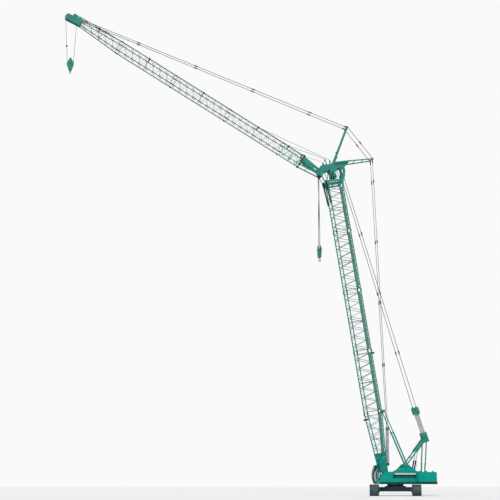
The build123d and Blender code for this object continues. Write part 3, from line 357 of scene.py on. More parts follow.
# which finish each CAD node wears; the rest wear the green paint
nodeFinish = {
    "darkSteel": (
        "winch_drums gantry_cylinders exhaust counterweight_tray boom_winch guide_rollers boom_hook_sheaves "
        "tip_sheave jib_hoist_anchor engine_block carbody slewing_ring"
    ),
    "slatePaint": "cab_shell cab_door track_frame_left track_frame_right sprockets idlers track_rollers",
    "upperGreen": (
        "jib_head jib_base boom_head tip_hook boom_hook front_strut rear_strut gantry_front_legs "
        "gantry_rear_legs gantry_head jib_hoist_block bridle"
    ),
    "boomPaint": "boom_base boom_insert_1 boom_insert_2 boom_insert_3 boom_top",
    "jibPaint": "jib_insert_1 jib_insert_2 jib_insert_3 jib_top",
    "trackSteel": "track_left track_right",
    "weightPaint": "counterweight_left counterweight_right",
    "pendantSteel": "boom_pendants jib_pendants strut_pendants boom_hook_rope tip_hook_rope",
    "ropeSteel": "backstay_pendants boom_hoist_rope jib_luff_rope",
    "cabTrim": "cab_interior",
    "windowGlass": "cab_glass",
}


def dressNodes():
    wanted = {node: finish for finish, names in nodeFinish.items() for node in names.split()}
    for name, piece in nodes.items():
        for place in piece.material_slots:
            place.material = materials[wanted.get(name, "greenPaint")]


makeCamera()
makeStudio()
for finishName in finishes:
    makeFinish(finishName)
makeGlass()
dressNodes()
print("camera, studio and finishes made")


def newPiece(name, mesh, finish, body=None, replaced=()):
    # turns a bmesh into a piece that rides on a body; without one, the piece stays where it is drawn
    bmesh.ops.recalc_face_normals(mesh, faces=mesh.faces)
    data = bpy.data.meshes.new(name)
    mesh.to_mesh(data)
    mesh.free()
    data.materials.append(materials[finish])
    piece = bpy.data.objects.new(name, data)
    bpy.context.scene.collection.objects.link(piece)
    if body:
        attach(piece, body)
    if replaced:
        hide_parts(*replaced)
    return piece


def addRing(mesh, centre, across, up, reaches, turn=0):
    # corners all round a centre, each at its own reach
    ring = []
    for k, reach in enumerate(reaches):
        t = 2 * math.pi * k / len(reaches) + turn
        ring.append(mesh.verts.new(centre + (across * math.cos(t) + up * math.sin(t)) * reach))
    return ring


def joinRings(mesh, rings, hollow=False):
    # walls from ring to ring with a cap at both ends, or back to the first ring round a hollow piece
    for low, high in zip(rings, rings[1:] + rings[:1] if hollow else rings[1:]):
        for k in range(len(low)):
            after = (k + 1) % len(low)
            mesh.faces.new((low[k], low[after], high[after], high[k]))
    if not hollow:
        mesh.faces.new(rings[0][::-1])
        mesh.faces.new(rings[-1])


def addPlate(mesh, at, outline, low, high):
    # a plate whose outline lies in the frame's XY
    joinRings(mesh, [[mesh.verts.new(at @ Vector((x, y, z))) for x, y in outline] for z in (low, high)])


def addTurned(mesh, at, profile, sides=20, hollow=False):
    # a turned solid: its profile gives radius and height from one end to the other
    across, up = at.col[0].to_3d(), at.col[1].to_3d()
    rings = []
    for radius, height in profile:
        rings.append(addRing(mesh, at @ Vector((0, 0, height)), across, up, [radius] * sides))
    joinRings(mesh, rings, hollow)


def addBolt(mesh, at, size):
    # a washer and a hexagon head with a chamfered top
    addTurned(mesh, at, [(size * 1.3, 0), (size * 1.3, size * 0.2)], 14)
    addTurned(mesh, at, [(size, size * 0.2), (size, size * 0.75), (size * 0.82, size * 0.9)], 6)


def addRod(mesh, base, points, radius, sides=10):
    # a round bar through points of the base; its rings stand square to the path
    points = [base @ Vector(p) for p in points]
    rings = []
    across = None
    for i, point in enumerate(points):
        ahead = (points[min(i + 1, len(points) - 1)] - points[max(i - 1, 0)]).normalized()
        if across is None:
            across = ahead.orthogonal()
        across = (across - ahead * across.dot(ahead)).normalized()
        rings.append(addRing(mesh, point, across, ahead.cross(across), [radius * mm] * sides))
    joinRings(mesh, rings)


ropeLook = {"strands": 6, "sides": 12, "lobe": 0.16, "layLength": 24, "step": 12}


def addRope(mesh, start, end, radius):
    # a laid rope between two points of the crane: lobes of its strands turn about the straight run
    run = end - start
    ahead = run.normalized()
    across = ahead.orthogonal().normalized()
    reaches = [radius * mm * (1 - ropeLook["lobe"] * (k % 2)) for k in range(ropeLook["sides"])]
    count = max(2, round(run.length / ropeLook["step"]))
    rings = []
    for i in range(count + 1):
        turn = 2 * math.pi * run.length * i / count / ropeLook["layLength"] / ropeLook["strands"]
        centre = craneMm @ (start + run * i / count)
        rings.append(addRing(mesh, centre, across, ahead.cross(across), reaches, turn))
    joinRings(mesh, rings)


def inCrane(base, x, y, z):
    # a point of the boom's or jib's frame, in the crane's millimetres
    return base @ Vector((x, y, z)) / mm


def sideOf(base, y):
    # a frame whose XY is the side plane at a distance across the crane
    return base @ Matrix(((1, 0, 0, 0), (0, 0, -1, y), (0, 1, 0, 0), (0, 0, 0, 1)))


def placeAt(base, centre, toward=None):
    # a frame at a point of the base, its Z along a direction where one is given
    at = base @ Matrix.Translation(centre)
    return at @ Vector(toward).to_track_quat("Z", "Y").to_matrix().to_4x4() if toward else at


def addSkin(mesh, side, y, outline, thick):
    # a plate on one side of the crane, outward from its distance off the middle
    low, high = (0, thick) if side < 0 else (-thick, 0)
    addPlate(mesh, sideOf(craneMm, side * y), outline, low, high)


def addSideBolt(mesh, base, side, x, y, z, size):
    # a bolt that faces outward on one side, y off the middle
    addBolt(mesh, placeAt(base, (x, side * y, z), (0, side, 0)), size)


def cut(wide, tall, corner, x=0, y=0):
    # a rectangle's outline with its corners cut off
    w, h = wide / 2, tall / 2
    half = [(w, corner - h), (w, h - corner), (w - corner, h), (corner - w, h)]
    return [(x + a, y + b) for a, b in half] + [(x - a, y - b) for a, b in half]


def smoothPath(points, steps=4):
    # Catmull-Rom through the points
    points = [Vector(p) for p in points]
    path = []
    for i in range(len(points) - 1):
        a, b, c, d = points[max(i - 1, 0)], points[i], points[i + 1], points[min(i + 2, len(points) - 1)]
        for k in range(steps):
            t = k / steps
            bend = (2 * a - 5 * b + 4 * c - d) * t * t + (3 * b - a - 3 * c + d) * t ** 3
            path.append(0.5 * (2 * b + (c - a) * t + bend))
    path.append(points[-1])
    return path


# Rope bundles: each runs, fixed in place, between points on the two bodies that its winch draws together
bridleEye = Vector((311, 0, 1258))
luffBlock = Vector((-106, 0, 966))
bundles = {
    "boomHoistFalls": {
        "node": "boom_hoist_rope", "bodies": ("gantry_swivel", "bridle"), "radius": 2.0,
        "from": pins["gantry_swivel_turn"] / mm, "to": bridleEye, "skip": (76.3, 76.3),
        "rows": 7, "rowPitch": 12, "layers": 6, "layerPitch": 9.6,
    },
    "jibHoistFalls": {
        "node": "jib_luff_rope", "bodies": ("boom", "jib_hoist"), "radius": 1.9,
        "from": inCrane(boomMm, 87, 0, 187), "to": luffBlock, "skip": (23, 41),
        "rows": 5, "rowPitch": 10, "layers": 5, "layerPitch": 9,
    },
}


def makeBundles():
    for name, bundle in bundles.items():
        rows, layers = bundle["rows"], bundle["layers"]
        ahead = (bundle["to"] - bundle["from"]).normalized()
        low = bundle["from"] + ahead * bundle["skip"][0]
        high = bundle["to"] - ahead * bundle["skip"][1]
        apart = ahead.cross(Vector((0, 1, 0)))
        mesh = bmesh.new()
        for row in range(rows):
            y = (row - (rows - 1) / 2) * bundle["rowPitch"]
            for layer in range(layers):
                aside = Vector((0, y, 0)) + apart * (layer - (layers - 1) / 2) * bundle["layerPitch"]
                addRope(mesh, low + aside, high + aside, bundle["radius"])
        piece = newPiece(name, mesh, "fallSteel", replaced=(bundle["node"],))
        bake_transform(piece)


makeBundles()
print("rope bundles made")


# Boom: walkway planks inside the rear face, section pins, neck plates and the stowed latch bars
walkway = {
    "runs": [(300, 930), (945, 1840), (1840, 2740), (2740, 3640), (3640, 4335)],
    "wide": 140, "inset": 9, "sheet": 1.6, "rim": 6, "gap": 26,
    "ribPitch": 30, "ribWide": 126, "ribHigh": 1.3,
    "baseSlope": 0.0867,  # of the rear face below the first joint
}


def makeWalkway():
    mesh = bmesh.new()
    (foot, thin), (full, deep) = lattices["boom"]["depth"][:2]
    half, sheet = walkway["wide"] / 2, walkway["sheet"]
    for start, end in walkway["runs"]:
        slope = walkway["baseSlope"] if start < full else 0
        depth = thin + (start - foot) * slope if slope else deep
        # X runs across, Y along, and Z out of the rear face
        across = Matrix(((0, 0, 1, 0), (1, 0, 0, 0), (0, 1, 0, 0), (0, 0, 0, 1)))
        tilt = Matrix.Rotation(math.atan(slope), 4, "Y")
        at = boomMm @ Matrix.Translation((depth - walkway["inset"], 0, start)) @ tilt @ across
        long = end - start - 2 * walkway["gap"]
        middle = (end - start) / 2
        addPlate(mesh, at, cut(2 * half, long, 5, 0, middle), 0, sheet)
        for x in (1 - half, half - 1):
            addPlate(mesh, at, cut(2, long - 6, 0.5, x, middle), -walkway["rim"], sheet)
        for i in range(int(long / walkway["ribPitch"])):
            y = middle - long / 2 + 15 + i * walkway["ribPitch"]
            addPlate(mesh, at, cut(walkway["ribWide"], 3, 1, 0, y), sheet, sheet + walkway["ribHigh"])
    newPiece("boomWalkway", mesh, "upperGreen", "boom")


sectionPins = {
    "boom": {"sleeve": 12.6, "long": 26, "pin": 5, "finish": "boomFitting"},
    "jib": {"sleeve": 10.4, "long": 30, "pin": 4, "finish": "slatePaint"},
}


def makeSectionPins(body):
    # a collar round each chord's connectors, a pin through it with its head, and a clip's bolt above
    mesh = bmesh.new()
    look, lines = sectionPins[body], lattices[body]
    r, half, pin = look["sleeve"], look["long"] / 2, look["pin"]
    deep, wide = lines["depth"][1][1], lines["width"][0]
    sleeve = [(r - 1.6, 0), (r, 1.5), (r, half - 1), (r - 1.4, half)]
    sleeve += [(r, half + 1), (r, 2 * half - 1.5), (r - 1.6, 2 * half)]
    for along in lines["joints"]:
        for x in (-deep, deep):
            for side in (-1, 1):
                addTurned(mesh, placeAt(lines["base"], (x, side * wide, along - half), (0, 0, 1)), sleeve, 18)
                inner = placeAt(lines["base"], (x, side * (wide - r - 5), along - half * 0.5), (0, side, 0))
                addTurned(mesh, inner, [(pin, 0), (pin, 2 * r + 8)], 14)
                addSideBolt(mesh, lines["base"], side, x, wide + r + 1, along - half * 0.5, pin * 1.3)
                addSideBolt(mesh, lines["base"], side, x, wide + r - 0.6, along + half * 0.5, pin * 0.8)
    newPiece(body + "SectionPins", mesh, look["finish"], body)


latchBars = {"top": (-124, 4424), "foot": (-108, 4060), "y": 92, "thick": 14, "deep": 24, "forward": 16}


def makeLatchBars():
    # the stowed bars on the boom top's front chords
    mesh = bmesh.new()
    (x1, z1), (x0, z0) = latchBars["top"], latchBars["foot"]
    d, half = latchBars["deep"] / 2, latchBars["thick"] / 2
    outline = [(x0 + 4 - d / 2, z0), (x0 + 4, z0 - 4), (x0 + 4 + d / 2, z0), (x1 + d, z1 - 30)]
    outline += [(x1 + d, z1), (x1, z1 + 8), (x1 - d, z1), (x1 - d, z1 - 40)]
    outline = [(x - latchBars["forward"], z) for x, z in outline]
    for side in (-1, 1):
        at = sideOf(boomMm, side * latchBars["y"])
        addPlate(mesh, at, outline, -half, half)
        for z in (z0 + 40, z1 - 70):
            x = x0 + (x1 - x0) * (z - z0) / (z1 - z0) - 10
            addPlate(mesh, at, cut(26, 18, 4, x + 4, z), -half - 3, half + 3)
            addSideBolt(mesh, boomMm, side, x - 3, latchBars["y"] + half + 3, z, 4)
    newPiece("frontLatchBars", mesh, "darkSteel", "boom")


neckPlates = {
    "y": 86, "half": 2.5, "boltX": (-34, 0, 34), "boltZ": (228, 288),
    "outline": [(-52, 216), (52, 216), (50, 286), (38, 298), (-38, 298), (-50, 286)],
}


def makeNeckPlates():
    # plates that close the neck above the boom's foot
    mesh = bmesh.new()
    y, half = neckPlates["y"], neckPlates["half"]
    for side in (-1, 1):
        addPlate(mesh, sideOf(boomMm, side * y), neckPlates["outline"], -half, half)
        for x in neckPlates["boltX"]:
            for z in neckPlates["boltZ"]:
                addSideBolt(mesh, boomMm, side, x, y + half, z, 3)
    newPiece("boomNeckPlates", mesh, "greenPaint", "boom")


makeWalkway()
makeSectionPins("boom")
makeSectionPins("jib")
makeLatchBars()
makeNeckPlates()
print("boom walkway, section pins, latch bars and neck plates made")


# Jib: dark frame at the root plates' ends, rope rollers on top, and the hoist lines that run over them
rootFrame = {"along": 346, "plate": (30, 32, 6), "half": 10, "bar": 5, "brace": 4, "bolt": 5}


def makeRootFrame():
    mesh = bmesh.new()
    z, half, bar = rootFrame["along"], rootFrame["half"], rootFrame["bar"]
    deep, y = lattices["jib"]["depth"][1][1], lattices["jib"]["width"][0]
    for side in (-1, 1):
        for x in (deep, -deep):
            addPlate(mesh, sideOf(jibMm, side * y), cut(*rootFrame["plate"], x, z), -half, half)
            for rise in (-7, 7):
                addSideBolt(mesh, jibMm, side, x, y + half, z + rise, rootFrame["bolt"])
        addRod(mesh, jibMm, [(deep, side * y, z), (-deep, side * y, z)], bar)
        brace = [(deep, side * y, z + 90), (10, side * y, z), (-deep, side * y, z + 60)]
        addRod(mesh, jibMm, brace, rootFrame["brace"])
    for x in (deep, -deep):
        addRod(mesh, jibMm, [(x, -y, z), (x, y, z)], bar)
    newPiece("jibRootFrame", mesh, "slatePaint", "jib")


# each roller's height along the jib, its rise over the middle and its half length
ropeRollers = {
    "at": [(378, 96, 40), (620, 98, 40), (1150, 96, 34), (2107, 96, 34), (3045, 96, 34), (3900, 86, 26)],
    "radius": 7,
    "bar": 3.4,
}


def makeRopeRollers():
    # a roller between two cheeks on a cross bar over the jib's upper chords
    mesh = bmesh.new()
    (taper, deep), (end, last) = lattices["jib"]["depth"][2:]
    wide, narrow = lattices["jib"]["width"]
    r = ropeRollers["radius"]
    for along, rise, half in ropeRollers["at"]:
        share = max(0, (along - taper) / (end - taper))
        top = deep + (last - deep) * share
        reach = wide + (narrow - wide) * share
        addRod(mesh, jibMm, [(top + 8, -reach, along), (top + 8, reach, along)], ropeRollers["bar"])
        cheek = [(top + 2, along - 11), (top + 2, along + 11), (rise + 6, along + 5), (rise + 6, along - 5)]
        for side in (-1, 1):
            addPlate(mesh, sideOf(jibMm, side * half), cheek, -1.5, 1.5)
            addSideBolt(mesh, jibMm, side, rise, half + 1.5, along, 3)
            addPlate(mesh, sideOf(jibMm, side * reach), cut(22, 16, 3, top + 3, along), -8.5, 8.5)
        profile = [(r + 3, 2 - half), (r + 3, 4 - half), (r, 6 - half)]
        profile += [(radius, -height) for radius, height in reversed(profile)]
        addTurned(mesh, placeAt(jibMm, (rise, 0, along), (0, 1, 0)), profile, 18)
    newPiece("jibRopeRollers", mesh, "darkSteel", "jib")


# each line's lead on the boom head's sheaves, its guide there and its rollers on the jib
tipRun = [(103, 1150), (103, 2107), (103, 3045), (93, 3900), (76, 4299)]
hoistLines = {
    "upper": {"y": 10, "radius": 2.8, "lead": (10, 4531), "guide": (4, 4738), "jib": tipRun},
    "lower": {
        "y": -10, "radius": 2.8, "lead": (-41, 4485), "guide": (-73, 4759), "jib": [(105, 620), *tipRun],
    },
    "aux": {
        "y": 30, "radius": 2.4, "lead": (-41, 4485), "guide": (-99, 4718), "jib": [(104, 378), (105, 620)],
    },
}
leadForks = {"foot": (-27, 4563), "sheave": 11, "wide": 14, "half": 5.6, "blendShare": 0.35}


def addLeadFork(mesh, y, x, z):
    # a guide sheave between two arms that meet on the boom head
    r = leadForks["sheave"]
    wheel = [(r - 1, -3.5), (r + 1, -3), (r - 1.5, -1), (r - 1.5, 1), (r + 1, 3), (r - 1, 3.5)]
    addTurned(mesh, placeAt(boomMm, (x, y, z), (0, 1, 0)), wheel, 24)
    foot, hub = Vector(leadForks["foot"]), Vector((x, z))
    ahead = (foot - hub).normalized()
    aside = Vector((ahead.y, -ahead.x)) * leadForks["wide"] / 2
    tip = hub - ahead * 5
    for side in (-1, 1):
        outline = [tip - aside * 0.7, tip + aside * 0.7, foot + aside, foot - aside]
        addPlate(mesh, sideOf(boomMm, y + side * leadForks["half"]), outline, -1, 1)
        addBolt(mesh, placeAt(boomMm, (x, y + side * (leadForks["half"] + 1), z), (0, side, 0)), 3)


def makeHoistLines():
    # each line goes from the boom head over its guide, crosses to a roller on the jib and runs on to the tip
    leads, forks = bmesh.new(), bmesh.new()
    for name, line in hoistLines.items():
        y, radius = line["y"], line["radius"]
        guide = inCrane(boomMm, line["guide"][0], y, line["guide"][1])
        addRope(leads, guide, inCrane(boomMm, line["lead"][0], y, line["lead"][1]), radius)
        addLeadFork(forks, y, line["guide"][0] - 9, line["guide"][1] - 13)
        spots = [inCrane(jibMm, x, y, z) for x, z in line["jib"]]
        mesh = bmesh.new()
        addRope(mesh, guide, spots[0], radius)
        crossing = newPiece(name + "HoistCrossing", mesh, "hookRope")
        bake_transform(crossing)
        mesh = bmesh.new()
        for low, high in zip(spots, spots[1:]):
            addRope(mesh, low, high, radius)
        newPiece(name + "HoistLine", mesh, "hookRope", "jib")
    newPiece("hoistLeads", leads, "hookRope", "boom")
    newPiece("hoistLeadForks", forks, "upperGreen", "boom")


makeRootFrame()
makeRopeRollers()
makeHoistLines()
print("jib root frame, rollers and hoist lines made")


# Winch windings: one continuous helix on each drum, given by its place and radius
windings = {
    "upperDrums": {
        "body": "upper", "base": craneMm, "half": 84,
        "drums": [(0, 249, 26), (100, 249, 26), (330, 249, 24)],
    },
    "boomDrum": {"body": "boom", "base": boomMm, "half": 74, "drums": [(0, 330, 22)]},
}
windingRope = {"radius": 1.8, "steps": 16}


def makeWindings():
    radius, steps = windingRope["radius"], windingRope["steps"]
    pitch = 2.1 * radius
    for name, look in windings.items():
        mesh = bmesh.new()
        for x, z, drum in look["drums"]:
            r = drum + radius * 0.9
            points = []
            for i in range(int(2 * look["half"] / pitch * steps) + 1):
                t = 2 * math.pi * i / steps
                points.append((x + r * math.cos(t), pitch * i / steps - look["half"], z + r * math.sin(t)))
            addRod(mesh, look["base"], points, radius, 6)
        newPiece(name + "Rope", mesh, "ropeSteel", look["body"])


makeWindings()
print("winch windings made")


# Stay links: a forked link with two pins where each pendant's lengths meet, and the links at the struts' tips
struts = {"frontDeg": 69.3, "rearDeg": 9.0, "long": 600}
strutPin = pins["strut_fold"] / mm


def strutTip(degrees):
    t = math.radians(degrees)
    return strutPin + Vector((math.cos(t), 0, math.sin(t))) * struts["long"]


frontTip = strutTip(struts["frontDeg"])
rearTip = strutTip(struts["rearDeg"])
jibStayPin = inCrane(jibMm, 44, 0, 4207)
boomStayPin = inCrane(boomMm, 147, 0, 4468)
# "y" is the stay's distance from the middle at its two ends
stays = {
    "jibStayLinks": {"body": "jib_stays", "from": jibStayPin, "to": frontTip, "y": (36, 58)},
    "boomStayLinks": {"body": "boom_stays", "from": boomStayPin, "to": bridleEye, "y": (60, 85)},
    "backStayLinks": {"body": "jib_hoist", "from": luffBlock, "to": rearTip, "y": (34, 58)},
    "strutStayLinks": {"body": "struts", "from": frontTip, "to": rearTip, "y": (85, 85), "middle": True},
}
stayLink = {"pitch": 914, "plate": 1.8, "wide": 14, "long": 54, "pin": 3.6, "boss": 8.6}


def makeStayLinks(name):
    mesh = bmesh.new()
    stay = stays[name]
    pin, boss = stayLink["pin"], stayLink["boss"]
    for side in (-1, 1):
        low = stay["from"] + Vector((0, side * stay["y"][0], 0))
        high = stay["to"] + Vector((0, side * stay["y"][1], 0))
        ahead = (high - low).normalized()
        across = (Vector((0, 1, 0)) - ahead * ahead.y).normalized()
        turn = Matrix((across.cross(ahead), ahead, across)).transposed().to_4x4()
        length = (high - low).length
        spots = [k * stayLink["pitch"] for k in range(1, int(length / stayLink["pitch"]) + 1)]
        if stay.get("middle"):
            spots = [length / 2]
        for spot in spots:
            at = craneMm @ Matrix.Translation(low + ahead * spot) @ turn
            for z in (-9.6, 7.8):
                addPlate(mesh, at, cut(stayLink["wide"], stayLink["long"], 5), z, z + stayLink["plate"])
            for y in (-19, 19):
                addTurned(mesh, placeAt(at, (0, y, -11)), [(pin, 0), (pin, 22)], 12)
                addBolt(mesh, placeAt(at, (0, y, 9.6)), pin * 1.25)
                addTurned(mesh, placeAt(at, (0, y, -6.5)), [(boss, 0), (boss, 13)], 16)
    newPiece(name, mesh, "pendantSteel", stay["body"])


# from the pendants' eyes, "gap" short of the strut tips, on to the tips that carry them
stayEnds = {
    "jibStayEnds": {"body": "jib_stays", "from": jibStayPin, "tip": frontTip, "gap": 48},
    "backStayEnds": {"body": "jib_hoist", "from": luffBlock, "tip": rearTip, "gap": 56},
}
endLink = {"y": 58, "plate": 2.2, "wide": 16, "pin": 4.5}


def makeStayEnds(name):
    mesh = bmesh.new()
    stay = stayEnds[name]
    long = stay["gap"]
    ahead = (stay["tip"] - stay["from"]).normalized()
    turn = Matrix((Vector((0, 1, 0)).cross(ahead), ahead, Vector((0, -1, 0)))).transposed().to_4x4()
    for side in (-1, 1):
        eye = stay["tip"] - ahead * long + Vector((0, side * endLink["y"], 0))
        at = craneMm @ Matrix.Translation(eye) @ turn
        for z in (-6.5, 4.3):
            addPlate(mesh, at, cut(endLink["wide"], long + 10, 5, 0, long / 2), z, z + endLink["plate"])
        addTurned(mesh, placeAt(at, (0, 0, -8)), [(endLink["pin"], 0), (endLink["pin"], 16)], 12)
        addBolt(mesh, placeAt(at, (0, 0, 6.5)), 5)
    newPiece(name, mesh, "pendantSteel", stay["body"])


for pieceName in stays:
    makeStayLinks(pieceName)
for pieceName in stayEnds:
    makeStayEnds(pieceName)
print("stay links made")


# House and counterweight trim on the crane's two sides, the near one first
house = {
    "wall": 176.6,
    "weights": 236.6,
    "slot": (254, 296),
    "strip": (299, 319),
    "slotMiddle": 85,
    "slats": 8,
    "slatPitch": 38,
    "bars": (-15, 1, 8, 15, 22),
    "seams": (20, 140, 236),
    "weightBolts": (300, 414, 528),
    "weightSeams": (357, 471),
    "eyes": (320, 414, 508),
    "roof": 340,
    "farHumpShare": 0.55,
    "hump": [
        (-57, 340), (-34, 346), (4, 352), (24, 380), (44, 390),
        (120, 394), (236, 386), (252, 362), (270, 350), (262, 340),
    ],
}
houseSides = {
    -1: {"front": -276, "slot": (-83, 258), "strip": (-52, 272)},
    1: {"front": -100, "slot": (-60, 230), "strip": (-40, 244)},
}


def box(x0, x1, z0, z1):
    # a plain rectangle's outline
    return [(x0, z0), (x1, z0), (x1, z1), (x0, z1)]


def makeHouseTrim():
    green, dark, pale = bmesh.new(), bmesh.new(), bmesh.new()
    wall, weights = house["wall"], house["weights"]
    low, high = house["slot"]
    middle = (low + high) / 2
    for side, look in houseSides.items():
        front = look["front"]
        # the louvres' frame: two rails, two ends and a row of slats between the holes
        left, right = look["slot"]
        for z in (low + 3, high - 3):
            addSkin(dark, side, wall, cut(right - left, 7, 2, (left + right) / 2, z), 3.5)
        for x in (left + 13, right - 13):
            addSkin(dark, side, wall, cut(26, high - low, 2, x, middle), 3)
        for i in range(house["slats"]):
            x = house["slotMiddle"] + (i - (house["slats"] - 1) / 2) * house["slatPitch"]
            addSkin(dark, side, wall, cut(11.5, high - low - 8, 1, x, middle), 2.6)
        for rise in house["bars"]:
            addSkin(dark, side, wall, cut(286, 4.6, 1, house["slotMiddle"], middle + rise), 2)
        # the pale strip above the louvres is a painted highlight: a pale plate on the wall in place of the
        # light on a step's top
        left, right = look["strip"]
        bottom, top = house["strip"]
        strip = cut(right - left, top - bottom, 3, (left + right) / 2, (bottom + top) / 2)
        addSkin(pale, side, wall, strip, 2.2)
        # the sill under the house, and under the weights at the tail
        addSkin(dark, side, wall, box(front, 262, 167, 192), 3)
        addSkin(dark, side, weights, box(273, 555, 178, 197), 2.4)
        # cover over the gap before the weights, and panel seams with their bolts
        addSkin(green, side, wall, box(254, 271.6, 199, 336), 3)
        for x in (front + 110, *house["seams"]):
            addSkin(green, side, wall, cut(9, 46, 1, x, 226), 1.6)
            for z in (210, 242):
                addSideBolt(green, craneMm, side, x, wall + 1.6, z, 2.4)
        for x in house["weightBolts"]:
            for z in (215, 320):
                addSideBolt(green, craneMm, side, x, weights - 0.1, z, 5)
        for x in house["weightSeams"]:
            addSkin(green, side, weights, cut(3, 128, 1, x, 262), 1.6)
        # lifting eyes on the weights' tops
        for x in house["eyes"]:
            y = side * 180
            eye = [(x - 15, 337.4), (x + 15, 337.4), (x + 9, 350), (x, 354), (x - 9, 350)]
            addPlate(green, sideOf(craneMm, y), eye, -3, 3)
            addTurned(dark, placeAt(craneMm, (x, y - 5, 346), (0, 1, 0)), [(3.4, 0), (3.4, 10)], 14)
    # fairing on the roof beside the gantry's plates, lower on the far side
    addPlate(green, sideOf(craneMm, -108.5), house["hump"], 0, 44)
    for x in (20, 120, 220):
        addSideBolt(green, craneMm, -1, x, 152.5, 358, 4)
    roof = house["roof"]
    farHump = [(x, roof + (z - roof) * house["farHumpShare"]) for x, z in house["hump"]]
    addPlate(green, sideOf(craneMm, 124.5), farHump, 0, 14)
    newPiece("houseTrim", green, "greenPaint", "upper")
    newPiece("houseSills", dark, "darkSteel", "upper")
    newPiece("houseStepHighlight", pale, "palePanelAndStepHighlight", "upper")


# the near house's front end carries dark and pale bands
frontPanel = {
    "dark": [(-299, 214), (-299, 337), (-226, 337), (-223, 324), (-262, 268), (-290, 222)],
    "pale": [
        [(-291, 246), (-291, 330), (-279, 330), (-279, 262)],
        [(-264, 286), (-264, 330), (-246, 330), (-248, 308)],
    ],
    "bolts": [(-295, 232), (-295, 333), (-232, 332)],
    "thick": 2.4,
}


def makeFrontPanel():
    dark, pale = bmesh.new(), bmesh.new()
    thick = frontPanel["thick"]
    addSkin(dark, -1, house["wall"], frontPanel["dark"], thick)
    for strip in frontPanel["pale"]:
        addSkin(pale, -1, house["wall"] + thick, strip, 1.2)
    for x, z in frontPanel["bolts"]:
        addSideBolt(dark, craneMm, -1, x, house["wall"] + thick, z, 2.4)
    newPiece("houseFrontPanel", dark, "darkSteel", "upper")
    newPiece("houseFrontStrips", pale, "palePanelAndStepHighlight", "upper")


# Curved dark bars on the cab's inner wall, with pale panels between them
cabBars = {
    "bars": [
        [
            (-243, 395), (-268, 362), (-287, 322), (-293, 285),
            (-294, 248), (-284, 216), (-265, 189), (-222, 184),
        ],
        [
            (-206, 408), (-228, 372), (-243, 336), (-250, 300),
            (-250, 263), (-243, 231), (-228, 204), (-212, 190),
        ],
        [(-170, 396), (-186, 348), (-199, 307), (-206, 272), (-206, 241), (-202, 214), (-192, 190)],
    ],
    "radius": 6.2,
    "wall": 116,
    "panelShare": (0.14, 0.86),  # of the way from bar to bar
}


def makeCabBars():
    dark, pale = bmesh.new(), bmesh.new()
    y = cabBars["wall"]
    paths = [smoothPath([(x, y - 5, z) for x, z in bar]) for bar in cabBars["bars"]]
    for path in paths:
        addRod(dark, craneMm, path, cabBars["radius"])
        for spot in (path[3], path[len(path) // 2], path[-3]):
            addRod(dark, craneMm, [(spot.x, y - 4, spot.z), (spot.x, y - 0.2, spot.z)], 3, 8)
    for low, high in zip(paths, paths[1:]):
        pairs = list(zip(low, high))[2:-4]
        outer, inner = ([a.lerp(b, share) for a, b in pairs] for share in cabBars["panelShare"])
        outline = [(p.x, p.z) for p in outer + inner[::-1]]
        addPlate(pale, sideOf(craneMm, y - 0.6), outline, 0, 1.4)
    newPiece("cabBars", dark, "darkSteel", "upper")
    newPiece("cabStrips", pale, "palePanelAndStepHighlight", "upper")


# Cab: windscreen in its frame, wiper, consoles with a lever each, door handle, and the seat
cab = {
    "screen": [(-294.6, 262), (-294.2, 290), (-292, 320), (-288.6, 348), (-280, 384), (-270.5, 410)],
    "screenY": (127, 201),
    "glass": 2,
    "frame": 2.2,
    "wiper": (158, 178),
    "consoles": (142, 188),
    "console": [(-246, 184), (-222, 184), (-222, 214), (-234, 236), (-246, 226)],
    "knob": [(1, 0), (3.4, 3), (3.6, 7), (1.4, 10)],
    "handle": (-192, 290),
}


def makeCab():
    glass, trim = bmesh.new(), bmesh.new()
    y0, y1 = cab["screenY"]
    path = smoothPath([(x, 0, z) for x, z in cab["screen"]], 3)
    rows = []
    for i, spot in enumerate(path):
        ahead = (path[min(i + 1, len(path) - 1)] - path[max(i - 1, 0)]).normalized()
        inside = spot + Vector((ahead.z, 0, -ahead.x)) * cab["glass"]
        ring = [(spot, y0), (spot, y1), (inside, y1), (inside, y0)]
        rows.append([glass.verts.new(craneMm @ Vector((p.x, y, p.z))) for p, y in ring])
    joinRings(glass, rows)
    newPiece("windscreen", glass, "windowGlass", "upper")
    for y in (y0 + 1, y1 - 1):
        addRod(trim, craneMm, [(p.x + 2.5, y, p.z) for p in path], cab["frame"], 8)
    for p in (path[0], path[-1]):
        addRod(trim, craneMm, [(p.x + 2.5, y0, p.z), (p.x + 2.5, y1, p.z)], cab["frame"], 8)
    low, high = path[2], path[9]
    pivot, end = cab["wiper"]
    addRod(trim, craneMm, [(low.x - 2.5, pivot, low.z), (high.x - 2.5, end, high.z)], 1, 6)
    addTurned(trim, placeAt(craneMm, (low.x + 3, pivot, low.z), (-1, 0, 0)), [(3, 0), (3, 4), (2, 6.5)], 12)
    for y in cab["consoles"]:
        addPlate(trim, sideOf(craneMm, y), cab["console"], -8, 8)
        addRod(trim, craneMm, [(-234, y, 234), (-230, y, 252)], 1.6, 8)
        addTurned(trim, placeAt(craneMm, (-230.5, y, 250), (0.2, 0, 1)), cab["knob"], 12)
    newPiece("cabFittings", trim, "cabTrim", "upper")
    handle = bmesh.new()
    x, z = cab["handle"]
    addPlate(handle, sideOf(craneMm, 217.6), cut(9, 34, 3, x, z), -1.2, 0.4)
    grip = [(x, 217.5, z + 13), (x, 222, z + 10), (x, 222, z - 10), (x, 217.5, z - 13)]
    addRod(handle, craneMm, grip, 1.5, 8)
    newPiece("cabDoorHandle", handle, "darkSteel", "door")


